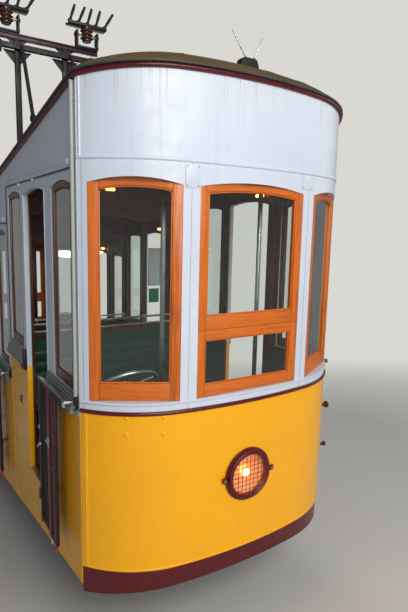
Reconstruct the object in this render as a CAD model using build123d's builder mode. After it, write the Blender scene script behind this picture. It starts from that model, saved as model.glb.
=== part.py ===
from build123d import *
import os
from math import asin, atan, cos, radians, sin, sqrt

# A stepped funicular car, in millimetres. It stands on a slope with level compartments, and is drawn as it
# parks: the track is horizontal, x runs across the car, +Y points down the hill, and the compartments lean.
os.makedirs("parts", exist_ok=True)

# Stance and track
GAUGE = 900
WHEELBASE = 3100
TREAD_RADIUS = 310
FLANGE_DEPTH = 25
BODY_CLEARANCE = 456

# Compartments: each is level, and one step lower than the one up the hill
SECTION_COUNT = 3
SECTION_LENGTH = 1830
SECTION_DROP = 300

# Plan of the body: flat sides and bowed ends made of three arcs
HALF_WIDTH = 960
WALL = 40
BULGE = 331
END_MID_RADIUS = 3115
END_JOIN_X = 480
CORNER_RETURN = 20

# Heights above a compartment's datum, which is the foot of its uphill corner
FLOOR_TOP = 200
FLOOR_THICK = 40
SIDE_WAIST = 1037
END_WAIST = 1088
SILL = 1159
WINDOW_HEAD = 2350
HEAD_RISE = 34
FASCIA_FOOT = 2469
ROOF_LINE = 2880
SKIRT_HEIGHT = 118

# End windows: half width of the middle one, and where the outer ones start and stop across the car
MID_WINDOW_HALF = 378
OUTER_WINDOW = (479, 924)
END_WINDOW_FOOT = 1150
SASH_THICK = 45
END_STILE = 56
END_BOTTOM_RAIL = 100
END_TOP_RAIL = 42
MID_SPLIT = 1546
MID_SPLIT_RAIL = 82
LOWER_LEAF_RAIL = 70
LOWER_LEAF_TOP_RAIL = 57
GLASS_THICK = 6
GLASS_INSET = 22

# Side windows and doorway, along a compartment from its uphill corner
SIDE_WINDOWS = ((113, 511), (SECTION_LENGTH - 483, SECTION_LENGTH - 60))
DOORWAY = (657, SECTION_LENGTH - 580)
SIDE_SASH_THICK = 28
SIDE_SASH_INSET = 6
SIDE_STILE = 44
SIDE_BOTTOM_RAIL = 70

# Sloping metal sills under the side windows
SILL_FOOT = 1052
SILL_TOP_DEPTH = 8
SILL_FOOT_DEPTH = 45
SILL_LIP = 12
SILL_SPANS = ((64, 640), (SECTION_LENGTH - 510, SECTION_LENGTH - 30))

# Mouldings and skirt
WAIST_MOULDING = (1075, 1100)
WAIST_PROUD = 12
SKIRT_INSET = 8
SKIRT_DROP = 55

# Roof and its trim
TRIM_HEIGHT = 26
TRIM_PROUD = 20
ROOF_OVERHANG = 28
ROOF_EDGE = 10

# Half-height gates, hinged beside each doorway and parked against the panel up the hill
GATE_OFFSET = 66
GATE_TOP = 1130
GATE_FOOT = 100
GATE_BAR = (68, 640)
GATE_BAR_HEIGHT = 30
GATE_THICK = 24
HINGE_ALONG = DOORWAY[0]
HINGE_STILE = (598, 636)
SLAT_COUNT = 4
SLAT_START = 10
SLAT_PITCH = 38
SLAT_WIDTH = 22
SLAT_THICK = 8
LEAD_STILE = (275, 440)
LEAD_BAR = 55
CROSS_SLAT_HEIGHT = 24
PIN_RADIUS = 8
PIN_CLEARANCE = 0.5
KNUCKLE_RADIUS = 16
KNUCKLE_LENGTH = 60
HINGE_HEIGHTS = (260, 940)
BRACKET_THICK = 12
SEAT_GAP = 0.3

# Running gear
AXLE_RADIUS = 55
FLANGE_WIDTH = 30
TREAD_WIDTH = 90
WHEEL_BACK = GAUGE / 2 - 35
FRAME_DEPTH = 120
FRAME_GAP = 14
FRAME_SETBACK = 60
GIRDER = (585, 655)
SOLEBAR = (860, HALF_WIDTH - WALL)

# Derived frame
TILT = atan(SECTION_DROP / SECTION_LENGTH)
PITCH = SECTION_LENGTH / cos(TILT)
TRACK_LENGTH = SECTION_COUNT * PITCH
CORNER_Y = -TRACK_LENGTH / 2
TRIM_Z = BODY_CLEARANCE + ROOF_LINE * cos(TILT)
ROOF_BASE_Z = TRIM_Z + TRIM_HEIGHT
WHEEL_RADIUS = TREAD_RADIUS + FLANGE_DEPTH
FRAME_BOTTOM = BODY_CLEARANCE + FRAME_GAP
FRAME_TOP = FRAME_BOTTOM + FRAME_DEPTH
FRAME_END = TRACK_LENGTH / 2 - FRAME_SETBACK
LEVEL_UP = Vector(0, -sin(TILT), cos(TILT))
LEVEL_ALONG = Vector(0, cos(TILT), sin(TILT))
SECTION_NAMES = ("uphill", "middle", "downhill")
SIDES = {"left": -1, "right": 1}
ENDS = ("uphill", "downhill")


def section_frame(index):
    """Level frame of one compartment: x across the car, y down the hill, z up."""
    origin = (0, CORNER_Y + index * PITCH, BODY_CLEARANCE)
    return Plane(origin=origin, x_dir=(1, 0, 0), z_dir=LEVEL_UP)


def side_frame(index, x):
    """Upright frame in a compartment's side: x down the hill, y up, and its normal across the car."""
    origin = section_frame(index).from_local_coords((x, 0, 0))
    return Plane(origin=origin, x_dir=LEVEL_ALONG, z_dir=(1, 0, 0))


def cross_frame(index, along):
    """Upright frame across a compartment: x across the car, y up, and its normal up the hill."""
    origin = section_frame(index).from_local_coords((0, along, 0))
    return Plane(origin=origin, x_dir=(1, 0, 0), z_dir=-LEVEL_ALONG)


def end_frame(end):
    """Level frame of one end: y points out of the car from the corner line, z up."""
    if end == "uphill":
        return Plane(origin=section_frame(0).origin, x_dir=(-1, 0, 0), z_dir=LEVEL_UP)
    last = section_frame(SECTION_COUNT - 1)
    corner = last.from_local_coords((0, SECTION_LENGTH, 0))
    return Plane(origin=corner, x_dir=(1, 0, 0), z_dir=LEVEL_UP)


def end_foot(end):
    """Height of the lower edge of an end's yellow panel."""
    return SKIRT_HEIGHT if end == "uphill" else SKIRT_HEIGHT - SECTION_DROP


# The bow of an end: a flat middle arc and two rounder ones that meet the side walls
JOIN_ANGLE = asin(END_JOIN_X / END_MID_RADIUS)
JOIN = Vector(END_JOIN_X, BULGE - END_MID_RADIUS * (1 - cos(JOIN_ANGLE)))
JOIN_NORMAL = Vector(sin(JOIN_ANGLE), cos(JOIN_ANGLE))
TO_CORNER = JOIN - Vector(HALF_WIDTH, 0)
END_SIDE_RADIUS = TO_CORNER.dot(TO_CORNER) / (2 * TO_CORNER.dot(JOIN_NORMAL))
SIDE_CENTRE = JOIN - JOIN_NORMAL * END_SIDE_RADIUS


def bow_y(x):
    """How far the bowed face stands out of the corner line at a distance from the centre plane."""
    x = abs(x)
    if x <= END_JOIN_X:
        return BULGE - END_MID_RADIUS + sqrt(END_MID_RADIUS**2 - x**2)
    return SIDE_CENTRE.Y + sqrt(END_SIDE_RADIUS**2 - (x - SIDE_CENTRE.X) ** 2)


def bow_points(inset):
    """Seven points across an end's plan, inset towards the inside: arc ends and the points between."""
    half = HALF_WIDTH - inset
    radius = END_SIDE_RADIUS - inset
    side_angle = asin((half - SIDE_CENTRE.X) / radius)
    angles = (side_angle, (side_angle + JOIN_ANGLE) / 2, JOIN_ANGLE)
    right = [SIDE_CENTRE + Vector(sin(a), cos(a)) * radius for a in angles]
    left = [Vector(-p.X, p.Y) for p in right]
    return [*left, Vector(0, BULGE - inset), *reversed(right)]


def bow_lines(inset, origin_y=0, direction=1, squeeze=1):
    """Draws the bow in the line being built and gives its two corner points."""
    p = [Vector(q.X * squeeze, origin_y + direction * q.Y) for q in bow_points(inset)]
    ThreePointArc(p[0], p[1], p[2])
    ThreePointArc(p[2], p[3], p[4])
    ThreePointArc(p[4], p[5], p[6])
    return p[0], p[6]


def block(frame, x, y, z, mode=Mode.ADD):
    """A block in a frame, from (low, high) pairs along its three axes."""
    centre = Location((sum(x) / 2, sum(y) / 2, sum(z) / 2))
    with Locations(frame.location * centre):
        Box(x[1] - x[0], y[1] - y[0], z[1] - z[0], mode=mode)


def rod(start, end, radius, mode=Mode.ADD):
    """A round bar between two points."""
    axis = Vector(*end) - Vector(*start)
    with Locations(Plane(origin=start, z_dir=axis).location):
        Cylinder(radius, axis.length, align=(Align.CENTER, Align.CENTER, Align.MIN), mode=mode)


def prism(frame, outline, depth, mode=Mode.ADD):
    """A closed outline in a frame, extruded along the frame's normal."""
    with BuildSketch(frame) as section:
        with BuildLine():
            Polyline(*outline, close=True)
        make_face()
    extrude(section.sketch, amount=depth, mode=mode)


def arched(frame, x, y, rise, depth, mode=Mode.ADD):
    """An opening or panel with a low arched head, extruded along the frame's normal both ways."""
    with BuildSketch(frame) as section:
        with BuildLine():
            Polyline((x[0], y[1]), (x[0], y[0]), (x[1], y[0]), (x[1], y[1]))
            ThreePointArc((x[1], y[1]), (sum(x) / 2, y[1] + rise), (x[0], y[1]))
        make_face()
    extrude(section.sketch, amount=depth, both=True, mode=mode)


def end_ring(frame, low, high, outer, inner):
    """A bowed wall of an end between two insets, from one height to another."""
    with BuildSketch(frame.offset(low)) as plan:
        with BuildLine():
            a, b = bow_lines(outer)
            c, d = bow_lines(inner)
            Polyline(a, (a.X, -CORNER_RETURN), (c.X, -CORNER_RETURN), c)
            Polyline(b, (b.X, -CORNER_RETURN), (d.X, -CORNER_RETURN), d)
        make_face()
    extrude(plan.sketch, amount=high - low)


def save(builder, label):
    builder.part.label = label
    export_step(builder.part, "parts/" + label + ".step")


def chord_frame(end, x0, x1):
    """Upright frame of a flat sash between two places on the bow: its normal points out, its y up."""
    frame = end_frame(end)
    a = Vector(x0, bow_y(x0), 0)
    b = Vector(x1, bow_y(x1), 0)
    along = (b - a).normalized()
    origin = frame.from_local_coords((a + b) * 0.5)
    out = frame.from_local_coords((a + b) * 0.5 + Vector(-along.Y, along.X, 0)) - origin
    return Plane(origin=origin, x_dir=LEVEL_UP.cross(out), z_dir=out), (b - a).length


def end_windows(end):
    """The three sash frames of an end, each with its half width."""
    spans = (
        (-OUTER_WINDOW[1], -OUTER_WINDOW[0]),
        (-MID_WINDOW_HALF, MID_WINDOW_HALF),
        OUTER_WINDOW,
    )
    planes = [chord_frame(end, *span) for span in spans]
    return [(plane, width / 2) for plane, width in planes]


# Underframe: girders and sole-bars with cross members let in between them
MEMBER_WIDTH = 90
WHEEL_BAY_HALF = 450
MOTOR_BAY = 500
END_MEMBER = FRAME_END - MEMBER_WIDTH / 2
BAY_OUTER = WHEELBASE / 2 + WHEEL_BAY_HALF
BAY_INNER = WHEELBASE / 2 - WHEEL_BAY_HALF
MOTOR_MEMBER = BAY_INNER - MOTOR_BAY
CROSS_MEMBERS = (-END_MEMBER, -BAY_OUTER, -BAY_INNER, -MOTOR_MEMBER, 0, BAY_INNER, BAY_OUTER, END_MEMBER)
MEMBER_SPANS = ((-SOLEBAR[0], -GIRDER[1]), (-GIRDER[0], GIRDER[0]), (GIRDER[1], SOLEBAR[0]))

with BuildPart() as frame_bars:
    for side in SIDES.values():
        for inner, outer in (GIRDER, SOLEBAR):
            across = sorted((side * inner, side * outer))
            block(Plane.XY, across, (-FRAME_END, FRAME_END), (FRAME_BOTTOM, FRAME_TOP))
save(frame_bars, "girders_and_sole_bars")

with BuildPart() as cross_members:
    for y in CROSS_MEMBERS:
        span = (y - MEMBER_WIDTH / 2, y + MEMBER_WIDTH / 2)
        for across in MEMBER_SPANS:
            block(Plane.XY, across, span, (FRAME_BOTTOM, FRAME_TOP))
save(cross_members, "cross_members")

# Upright webs on the girders carry the level floors over the sloping frame
WEB_THICK = 12
WEB_SETBACK = (30, 80)

with BuildPart() as floor_webs:
    for index in range(SECTION_COUNT):
        for side in SIDES.values():
            x = side * sum(GIRDER) / 2 - WEB_THICK / 2
            start, stop = WEB_SETBACK[0], SECTION_LENGTH - WEB_SETBACK[1]
            top = FLOOR_TOP - FLOOR_THICK
            web = [(start, top), (stop, top), (stop, -SECTION_DROP), (start, -SECTION_DROP)]
            prism(side_frame(index, x), web, WEB_THICK)
    split(bisect_by=Plane.XY.offset(FRAME_TOP), keep=Keep.TOP)
save(floor_webs, "floor_webs")

# Pads under the sole-bars for jacks or stands
PAD_ACROSS = (862, 912)
PAD_LENGTH = 120
PAD_THICK = 20
PAD_SETBACK = 420

with BuildPart() as jack_pads:
    for side in SIDES.values():
        across = sorted((side * PAD_ACROSS[0], side * PAD_ACROSS[1]))
        for towards in (-1, 1):
            y = towards * (FRAME_END - PAD_SETBACK)
            span = (y - PAD_LENGTH / 2, y + PAD_LENGTH / 2)
            block(Plane.XY, across, span, (FRAME_BOTTOM - PAD_THICK, FRAME_BOTTOM))
save(jack_pads, "jack_pads")

# Wheelsets: an axle with two flanged wheels
HUB_RADIUS = 100
RIM_INNER = 262
DISC = (28, 56)
WHEEL_WIDTH = FLANGE_WIDTH + TREAD_WIDTH
WHEEL_PROFILE = (
    # across from the wheel's back, radius
    (0, AXLE_RADIUS),
    (0, HUB_RADIUS),
    (DISC[0], HUB_RADIUS),
    (DISC[0], RIM_INNER),
    (0, RIM_INNER),
    (0, WHEEL_RADIUS - 8),
    (8, WHEEL_RADIUS),
    (FLANGE_WIDTH - 12, WHEEL_RADIUS),
    (FLANGE_WIDTH, TREAD_RADIUS),
    (WHEEL_WIDTH, TREAD_RADIUS - 4),
    (WHEEL_WIDTH, RIM_INNER),
    (DISC[1], RIM_INNER),
    (DISC[1], HUB_RADIUS),
    (WHEEL_WIDTH, HUB_RADIUS - 10),
    (WHEEL_WIDTH, AXLE_RADIUS),
)
JOURNAL = (570, 668)
JOURNAL_CLEARANCE = 0.5
JOURNAL_END_GAP = 6
AXLE_LENGTH = 2 * (JOURNAL[1] - JOURNAL_END_GAP)

for name, y in (("wheelset_uphill", -WHEELBASE / 2), ("wheelset_downhill", WHEELBASE / 2)):
    with BuildPart() as wheelset:
        rod((-AXLE_LENGTH / 2, y, WHEEL_RADIUS), (AXLE_LENGTH / 2, y, WHEEL_RADIUS), AXLE_RADIUS)
        for side in SIDES.values():
            centre = Plane(origin=(0, y, WHEEL_RADIUS), x_dir=(side, 0, 0), z_dir=(0, -side, 0))
            with BuildSketch(centre) as section:
                with BuildLine():
                    Polyline(*[(WHEEL_BACK + a, r) for a, r in WHEEL_PROFILE], close=True)
                make_face()
            revolve(section.sketch, axis=Axis((0, y, WHEEL_RADIUS), (1, 0, 0)))
    save(wheelset, name)

# Axle boxes with their horn guides, outside the wheels
BOX_HALF = 78
BOX_RISE = 80
BOX_TOP = WHEEL_RADIUS + BOX_RISE
HORN_THICK = 20
HORN_INSET = 10
HORN_FOOT = WHEEL_RADIUS - 95

with BuildPart() as axle_boxes:
    for y in (-WHEELBASE / 2, WHEELBASE / 2):
        for side in SIDES.values():
            across = sorted((side * JOURNAL[0], side * JOURNAL[1]))
            block(Plane.XY, across, (y - BOX_HALF, y + BOX_HALF), (WHEEL_RADIUS - BOX_RISE, BOX_TOP))
            plate = sorted((side * (GIRDER[0] + HORN_INSET), side * (GIRDER[1] - HORN_INSET)))
            for guide in (-1, 1):
                faces = sorted((y + guide * BOX_HALF, y + guide * (BOX_HALF + HORN_THICK)))
                block(Plane.XY, plate, faces, (HORN_FOOT, FRAME_BOTTOM))
            start = (side * (JOURNAL[0] - 1), y, WHEEL_RADIUS)
            stop = (side * (JOURNAL[1] - JOURNAL_END_GAP + 1), y, WHEEL_RADIUS)
            rod(start, stop, AXLE_RADIUS + JOURNAL_CLEARANCE, Mode.SUBTRACT)
save(axle_boxes, "axle_boxes")

# Leaf springs between the boxes and the girders
LEAF_LENGTHS = (860, 700, 540, 380)
LEAF_WIDTH = 60
LEAF_GAP = 4
SPRING_HEIGHT = FRAME_BOTTOM - BOX_TOP
LEAF_THICK = SPRING_HEIGHT / (len(LEAF_LENGTHS) + 1)

with BuildPart() as leaf_springs:
    for y in (-WHEELBASE / 2, WHEELBASE / 2):
        for side in SIDES.values():
            x = side * sum(GIRDER) / 2
            across = (x - LEAF_WIDTH / 2, x + LEAF_WIDTH / 2)
            for row, length in enumerate(LEAF_LENGTHS):
                top = FRAME_BOTTOM - row * LEAF_THICK
                for half in (-1, 1):
                    reach = sorted((y + half * (BOX_HALF + HORN_THICK + LEAF_GAP), y + half * length / 2))
                    block(Plane.XY, across, reach, (top - LEAF_THICK, top))
            inside = (y - BOX_HALF + LEAF_GAP, y + BOX_HALF - LEAF_GAP)
            block(Plane.XY, across, inside, (BOX_TOP, FRAME_BOTTOM))
save(leaf_springs, "leaf_springs")

# Cable gripper under the middle of the car: a plate, an arm and an eye for the cable's pin
GRIP_PIN_RADIUS = 20
GRIP_EYE_Z = 130
GRIP_EYE_RADIUS = 62
GRIP_LENGTH = 60
GRIP_ARM_THICK = 24
GRIP_PLATE_FOOT = FRAME_BOTTOM - 16

with BuildPart() as cable_gripper:
    block(Plane.XY, (-90, 90), (-150, 150), (GRIP_PLATE_FOOT, FRAME_BOTTOM))
    arm = [(-130, GRIP_PLATE_FOOT), (130, GRIP_PLATE_FOOT), (50, GRIP_EYE_Z), (-50, GRIP_EYE_Z)]
    middle = Plane(origin=(-GRIP_ARM_THICK / 2, 0, 0), x_dir=(0, 1, 0), z_dir=(1, 0, 0))
    prism(middle, arm, GRIP_ARM_THICK)
    rod((-GRIP_LENGTH / 2, 0, GRIP_EYE_Z), (GRIP_LENGTH / 2, 0, GRIP_EYE_Z), GRIP_EYE_RADIUS)
    rod((-GRIP_LENGTH, 0, GRIP_EYE_Z), (GRIP_LENGTH, 0, GRIP_EYE_Z), GRIP_PIN_RADIUS, Mode.SUBTRACT)
save(cable_gripper, "cable_gripper")

# Brake blocks just clear of the treads, and the beams that carry them
BLOCK_CLEARANCE = 6
BLOCK_THICK = 45
BLOCK_RISE = 120
BLOCK_X = (WHEEL_BACK + FLANGE_WIDTH + 8, WHEEL_BACK + WHEEL_WIDTH - 8)
BEAM_RADIUS = 22
HANGER_RADIUS = 14
BEARER_HALF = 30
BEARER_THICK = 12
# axle's place, and the way from it to its brake beam
AXLES = ((-WHEELBASE / 2, 1), (WHEELBASE / 2, -1))
BLOCK_FACE = TREAD_RADIUS + BLOCK_CLEARANCE
BEAM_REACH = BLOCK_FACE + BLOCK_THICK + BEAM_RADIUS / 2

with BuildPart() as brake_blocks:
    for y, towards in AXLES:
        reach = sorted((y + towards * (BLOCK_FACE - BLOCK_THICK), y + towards * (BLOCK_FACE + BLOCK_THICK)))
        for side in SIDES.values():
            across = sorted((side * BLOCK_X[0], side * BLOCK_X[1]))
            block(Plane.XY, across, reach, (WHEEL_RADIUS - BLOCK_RISE, WHEEL_RADIUS + BLOCK_RISE))
        rod((-HALF_WIDTH, y, WHEEL_RADIUS), (HALF_WIDTH, y, WHEEL_RADIUS), BLOCK_FACE, Mode.SUBTRACT)
save(brake_blocks, "brake_blocks")

with BuildPart() as brake_beams:
    for y, towards in AXLES:
        beam_y = y + towards * BEAM_REACH
        rod((-BLOCK_X[1], beam_y, WHEEL_RADIUS), (BLOCK_X[1], beam_y, WHEEL_RADIUS), BEAM_RADIUS)
        for side in SIDES.values():
            x = side * sum(BLOCK_X) / 2
            rod((x, beam_y, WHEEL_RADIUS), (x, beam_y, FRAME_BOTTOM), HANGER_RADIUS)
        bearer = (beam_y - BEARER_HALF, beam_y + BEARER_HALF)
        block(Plane.XY, (-GIRDER[0], GIRDER[0]), bearer, (FRAME_BOTTOM, FRAME_BOTTOM + BEARER_THICK))
    add(brake_blocks.part, mode=Mode.SUBTRACT)
save(brake_beams, "brake_beams")

# Traction motor under two cross members
MOTOR_HALF_WIDTH = 300
MOTOR_FOOT = 130
MOTOR_LAP = 10
MOTOR_ROUNDING = 60

with BuildPart() as traction_motor:
    span = (-BAY_INNER + MOTOR_LAP, -MOTOR_MEMBER - MOTOR_LAP)
    block(Plane.XY, (-MOTOR_HALF_WIDTH, MOTOR_HALF_WIDTH), span, (MOTOR_FOOT, FRAME_BOTTOM))
    fillet(traction_motor.edges().filter_by(Axis.X).group_by(Axis.Z)[0], radius=MOTOR_ROUNDING)
save(traction_motor, "traction_motor")

# Floors: one level slab for each compartment, the end ones out into the bows
BULKHEAD_THICK = 35

for index, name in enumerate(SECTION_NAMES):
    with BuildPart() as floor:
        frame = section_frame(index)
        start = WALL if index == 0 else -BULKHEAD_THICK
        stop = SECTION_LENGTH - (WALL if index == SECTION_COUNT - 1 else BULKHEAD_THICK)
        inner = HALF_WIDTH - WALL
        block(frame, (-inner, inner), (start, stop), (FLOOR_TOP - FLOOR_THICK, FLOOR_TOP))
        if name in ENDS:
            with BuildSketch(end_frame(name).offset(FLOOR_TOP - FLOOR_THICK)) as plan:
                with BuildLine():
                    a, b = bow_lines(WALL)
                    Polyline(b, (b.X, -WALL), (a.X, -WALL), a)
                make_face()
            extrude(plan.sketch, amount=FLOOR_THICK)
    save(floor, "floor_" + name)

# Yellow lower sides: one skin a side, stepped along the top, cut for the doorways
for name, side in SIDES.items():
    with BuildPart() as side_lower:
        x = min(side * HALF_WIDTH, side * (HALF_WIDTH - WALL))
        for index in range(SECTION_COUNT):
            start = CORNER_RETURN if index == 0 else 0
            stop = SECTION_LENGTH - (CORNER_RETURN if index == SECTION_COUNT - 1 else 0)
            foot = -SECTION_DROP - WALL
            panel = [(start, foot), (stop, foot), (stop, SIDE_WAIST), (start, SIDE_WAIST)]
            prism(side_frame(index, x), panel, WALL)
        for index in range(SECTION_COUNT):
            walls = (x - 1, x + WALL + 1)
            block(section_frame(index), walls, DOORWAY, (FLOOR_TOP, SIDE_WAIST + 1), Mode.SUBTRACT)
        split(bisect_by=Plane.XY.offset(BODY_CLEARANCE), keep=Keep.TOP)
    save(side_lower, "side_lower_" + name)

# White upper sides: one panel for each compartment and side, up to the roof, with windows and doorway cut
for name, side in SIDES.items():
    x = min(side * HALF_WIDTH, side * (HALF_WIDTH - WALL))
    for index, section_name in enumerate(SECTION_NAMES):
        with BuildPart() as side_upper:
            start = CORNER_RETURN if index == 0 else 0
            stop = SECTION_LENGTH - (CORNER_RETURN if index == SECTION_COUNT - 1 else 0)
            top = ROOF_LINE + 2 * TRIM_HEIGHT
            panel = [(start, SIDE_WAIST), (stop, SIDE_WAIST), (stop, top), (start, top)]
            prism(side_frame(index, x), panel, WALL)
            for window in SIDE_WINDOWS:
                arched(side_frame(index, x), window, (SILL, WINDOW_HEAD), HEAD_RISE, 2 * WALL, Mode.SUBTRACT)
            doorway = (SIDE_WAIST - 1, WINDOW_HEAD)
            arched(side_frame(index, x), DOORWAY, doorway, HEAD_RISE, 2 * WALL, Mode.SUBTRACT)
            split(bisect_by=Plane.XY.offset(ROOF_BASE_Z), keep=Keep.BOTTOM)
        save(side_upper, "side_upper_" + name + "_" + section_name)

# Ends: yellow panel, white window frame, fascia, skirt and waist moulding
LAMP_HEIGHT = 608
LAMP_BARREL = 150

for end in ENDS:
    frame = end_frame(end)
    with BuildPart() as end_lower:
        end_ring(frame, end_foot(end), END_WAIST, 0, WALL)
        centre = frame.from_local_coords((0, BULGE - 2 * WALL, LAMP_HEIGHT))
        front = frame.from_local_coords((0, BULGE + WALL, LAMP_HEIGHT))
        rod(centre, front, LAMP_BARREL, Mode.SUBTRACT)
    save(end_lower, "end_lower_" + end)

    with BuildPart() as end_upper:
        inner_half = HALF_WIDTH - WALL
        mid_y = bow_y(MID_WINDOW_HALF) - SASH_THICK
        a = Vector(OUTER_WINDOW[0], bow_y(OUTER_WINDOW[0]))
        b = Vector(OUTER_WINDOW[1], bow_y(OUTER_WINDOW[1]))
        slope = (b.Y - a.Y) / (b.X - a.X)
        drop = SASH_THICK * sqrt(1 + slope**2)
        knee_x = a.X + (mid_y - a.Y + drop) / slope
        side_y = a.Y - drop + slope * (inner_half - a.X)
        with BuildSketch(frame.offset(END_WAIST)) as plan:
            with BuildLine():
                left, right = bow_lines(0)
                Polyline(
                    left,
                    (left.X, -CORNER_RETURN),
                    (-inner_half, -CORNER_RETURN),
                    (-inner_half, side_y),
                    (-knee_x, mid_y),
                    (knee_x, mid_y),
                    (inner_half, side_y),
                    (inner_half, -CORNER_RETURN),
                    (right.X, -CORNER_RETURN),
                    right,
                )
            make_face()
        extrude(plan.sketch, amount=FASCIA_FOOT - END_WAIST)
        for plane, half in end_windows(end):
            arched(plane, (-half, half), (END_WINDOW_FOOT, WINDOW_HEAD), HEAD_RISE, 2 * WALL, Mode.SUBTRACT)
    save(end_upper, "end_upper_" + end)

    with BuildPart() as end_fascia:
        end_ring(frame, FASCIA_FOOT, ROOF_LINE + 4 * TRIM_HEIGHT, 0, WALL)
        split(bisect_by=Plane.XY.offset(ROOF_BASE_Z), keep=Keep.BOTTOM)
    save(end_fascia, "end_fascia_" + end)

with BuildPart() as end_skirts:
    for end in ENDS:
        end_ring(end_frame(end), end_foot(end) - SECTION_DROP, end_foot(end), SKIRT_INSET, WALL)
    split(bisect_by=Plane.XY.offset(BODY_CLEARANCE - SKIRT_DROP), keep=Keep.TOP)
save(end_skirts, "end_skirts")

with BuildPart() as waist_mouldings:
    for end in ENDS:
        end_ring(end_frame(end), *WAIST_MOULDING, -WAIST_PROUD, 0)
save(waist_mouldings, "waist_mouldings")


def leaf_outline(half, foot, head, rise):
    """Draws a leaf's outline, with an arched or a straight head, in the line being built."""
    Polyline((-half, head), (-half, foot), (half, foot), (half, head))
    if rise:
        ThreePointArc((half, head), (0, head + rise), (-half, head))
    else:
        Line((half, head), (-half, head))


def sash(frame, half, opening, stile, rails, depth):
    """A sash frame, let into its opening from the frame's plane inwards."""
    foot, head, rise = opening
    bottom_rail, top_rail = rails
    with BuildSketch(frame.offset(-depth)) as section:
        with BuildLine():
            leaf_outline(half, foot, head, rise)
        make_face()
        with BuildLine():
            leaf_outline(half - stile, foot + bottom_rail, head - top_rail, rise)
        make_face(mode=Mode.SUBTRACT)
    extrude(section.sketch, amount=depth)


def pane(frame, half, opening, stile, rails, depth):
    """The pane of a sash of the same sizes, at a depth behind the frame's plane."""
    foot, head, rise = opening
    bottom_rail, top_rail = rails
    with BuildSketch(frame.offset(-depth)) as section:
        with BuildLine():
            leaf_outline(half - stile, foot + bottom_rail, head - top_rail, rise)
        make_face()
    extrude(section.sketch, amount=GLASS_THICK)


def end_leaves(is_middle):
    """Opening (foot, head, head's rise) and rails of each leaf of an end window."""
    if not is_middle:
        return [((END_WINDOW_FOOT, WINDOW_HEAD, HEAD_RISE), (END_BOTTOM_RAIL, END_TOP_RAIL))]
    return [
        ((END_WINDOW_FOOT, MID_SPLIT, 0), (LOWER_LEAF_RAIL, LOWER_LEAF_TOP_RAIL)),
        ((MID_SPLIT, WINDOW_HEAD, HEAD_RISE), (MID_SPLIT_RAIL, END_TOP_RAIL)),
    ]


with BuildPart() as end_sashes:
    for end in ENDS:
        for number, (plane, half) in enumerate(end_windows(end)):
            for opening, rails in end_leaves(number == 1):
                sash(plane, half, opening, END_STILE, rails, SASH_THICK)
save(end_sashes, "end_sashes")

with BuildPart() as end_glass:
    for end in ENDS:
        for number, (plane, half) in enumerate(end_windows(end)):
            for opening, rails in end_leaves(number == 1):
                pane(plane, half, opening, END_STILE, rails, GLASS_INSET)
save(end_glass, "end_glass")


def side_windows():
    """Outward frames, with half widths, of all the side windows."""
    for side in SIDES.values():
        for index in range(SECTION_COUNT):
            for low, high in SIDE_WINDOWS:
                x = side * (HALF_WIDTH - SIDE_SASH_INSET)
                origin = section_frame(index).from_local_coords((x, (low + high) / 2, 0))
                out = Vector(side, 0, 0)
                yield Plane(origin=origin, x_dir=LEVEL_UP.cross(out), z_dir=out), (high - low) / 2


SIDE_OPENING = (SILL, WINDOW_HEAD, HEAD_RISE)
SIDE_RAILS = (SIDE_BOTTOM_RAIL, SIDE_STILE)

with BuildPart() as side_sashes:
    for plane, half in side_windows():
        sash(plane, half, SIDE_OPENING, SIDE_STILE, SIDE_RAILS, SIDE_SASH_THICK)
save(side_sashes, "side_sashes")

with BuildPart() as side_glass:
    for plane, half in side_windows():
        pane(plane, half, SIDE_OPENING, SIDE_STILE, SIDE_RAILS, SIDE_SASH_THICK / 2)
save(side_glass, "side_glass")

# Sloping sills under the side windows
with BuildPart() as window_sills:
    for side in SIDES.values():
        for index in range(SECTION_COUNT):
            for low, high in SILL_SPANS:
                outline = [
                    (side * HALF_WIDTH, SILL),
                    (side * (HALF_WIDTH + SILL_TOP_DEPTH), SILL),
                    (side * (HALF_WIDTH + SILL_FOOT_DEPTH), SILL_FOOT),
                    (side * HALF_WIDTH, SILL_FOOT - SILL_LIP),
                ]
                prism(cross_frame(index, high), outline, high - low)
save(window_sills, "window_sills")


def closed_plan(frame, inset, length, squeeze=1):
    """A plan with both bows and straight sides, squeezed towards the centre plane, as a face in a frame."""
    with BuildSketch(frame) as plan:
        with BuildLine():
            a, b = bow_lines(inset, 0, -1, squeeze)
            c, d = bow_lines(inset, length, 1, squeeze)
            Line(a, c)
            Line(b, d)
        make_face()
    return plan.sketch


# Roof trim: a maroon band round the head of the walls, parallel to the track
BODY_LENGTH = SECTION_COUNT * SECTION_LENGTH

with BuildPart() as roof_trim:
    low = ROOF_LINE - SECTION_COUNT * SECTION_DROP - BULGE
    rise = ROOF_LINE + BULGE - low
    extrude(closed_plan(section_frame(0).offset(low), -TRIM_PROUD, BODY_LENGTH), amount=rise)
    extrude(closed_plan(section_frame(0).offset(low), 0, BODY_LENGTH), amount=rise, mode=Mode.SUBTRACT)
    split(bisect_by=Plane.XY.offset(TRIM_Z), keep=Keep.TOP)
    split(bisect_by=Plane.XY.offset(ROOF_BASE_Z), keep=Keep.BOTTOM)
save(roof_trim, "roof_trim")

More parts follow.
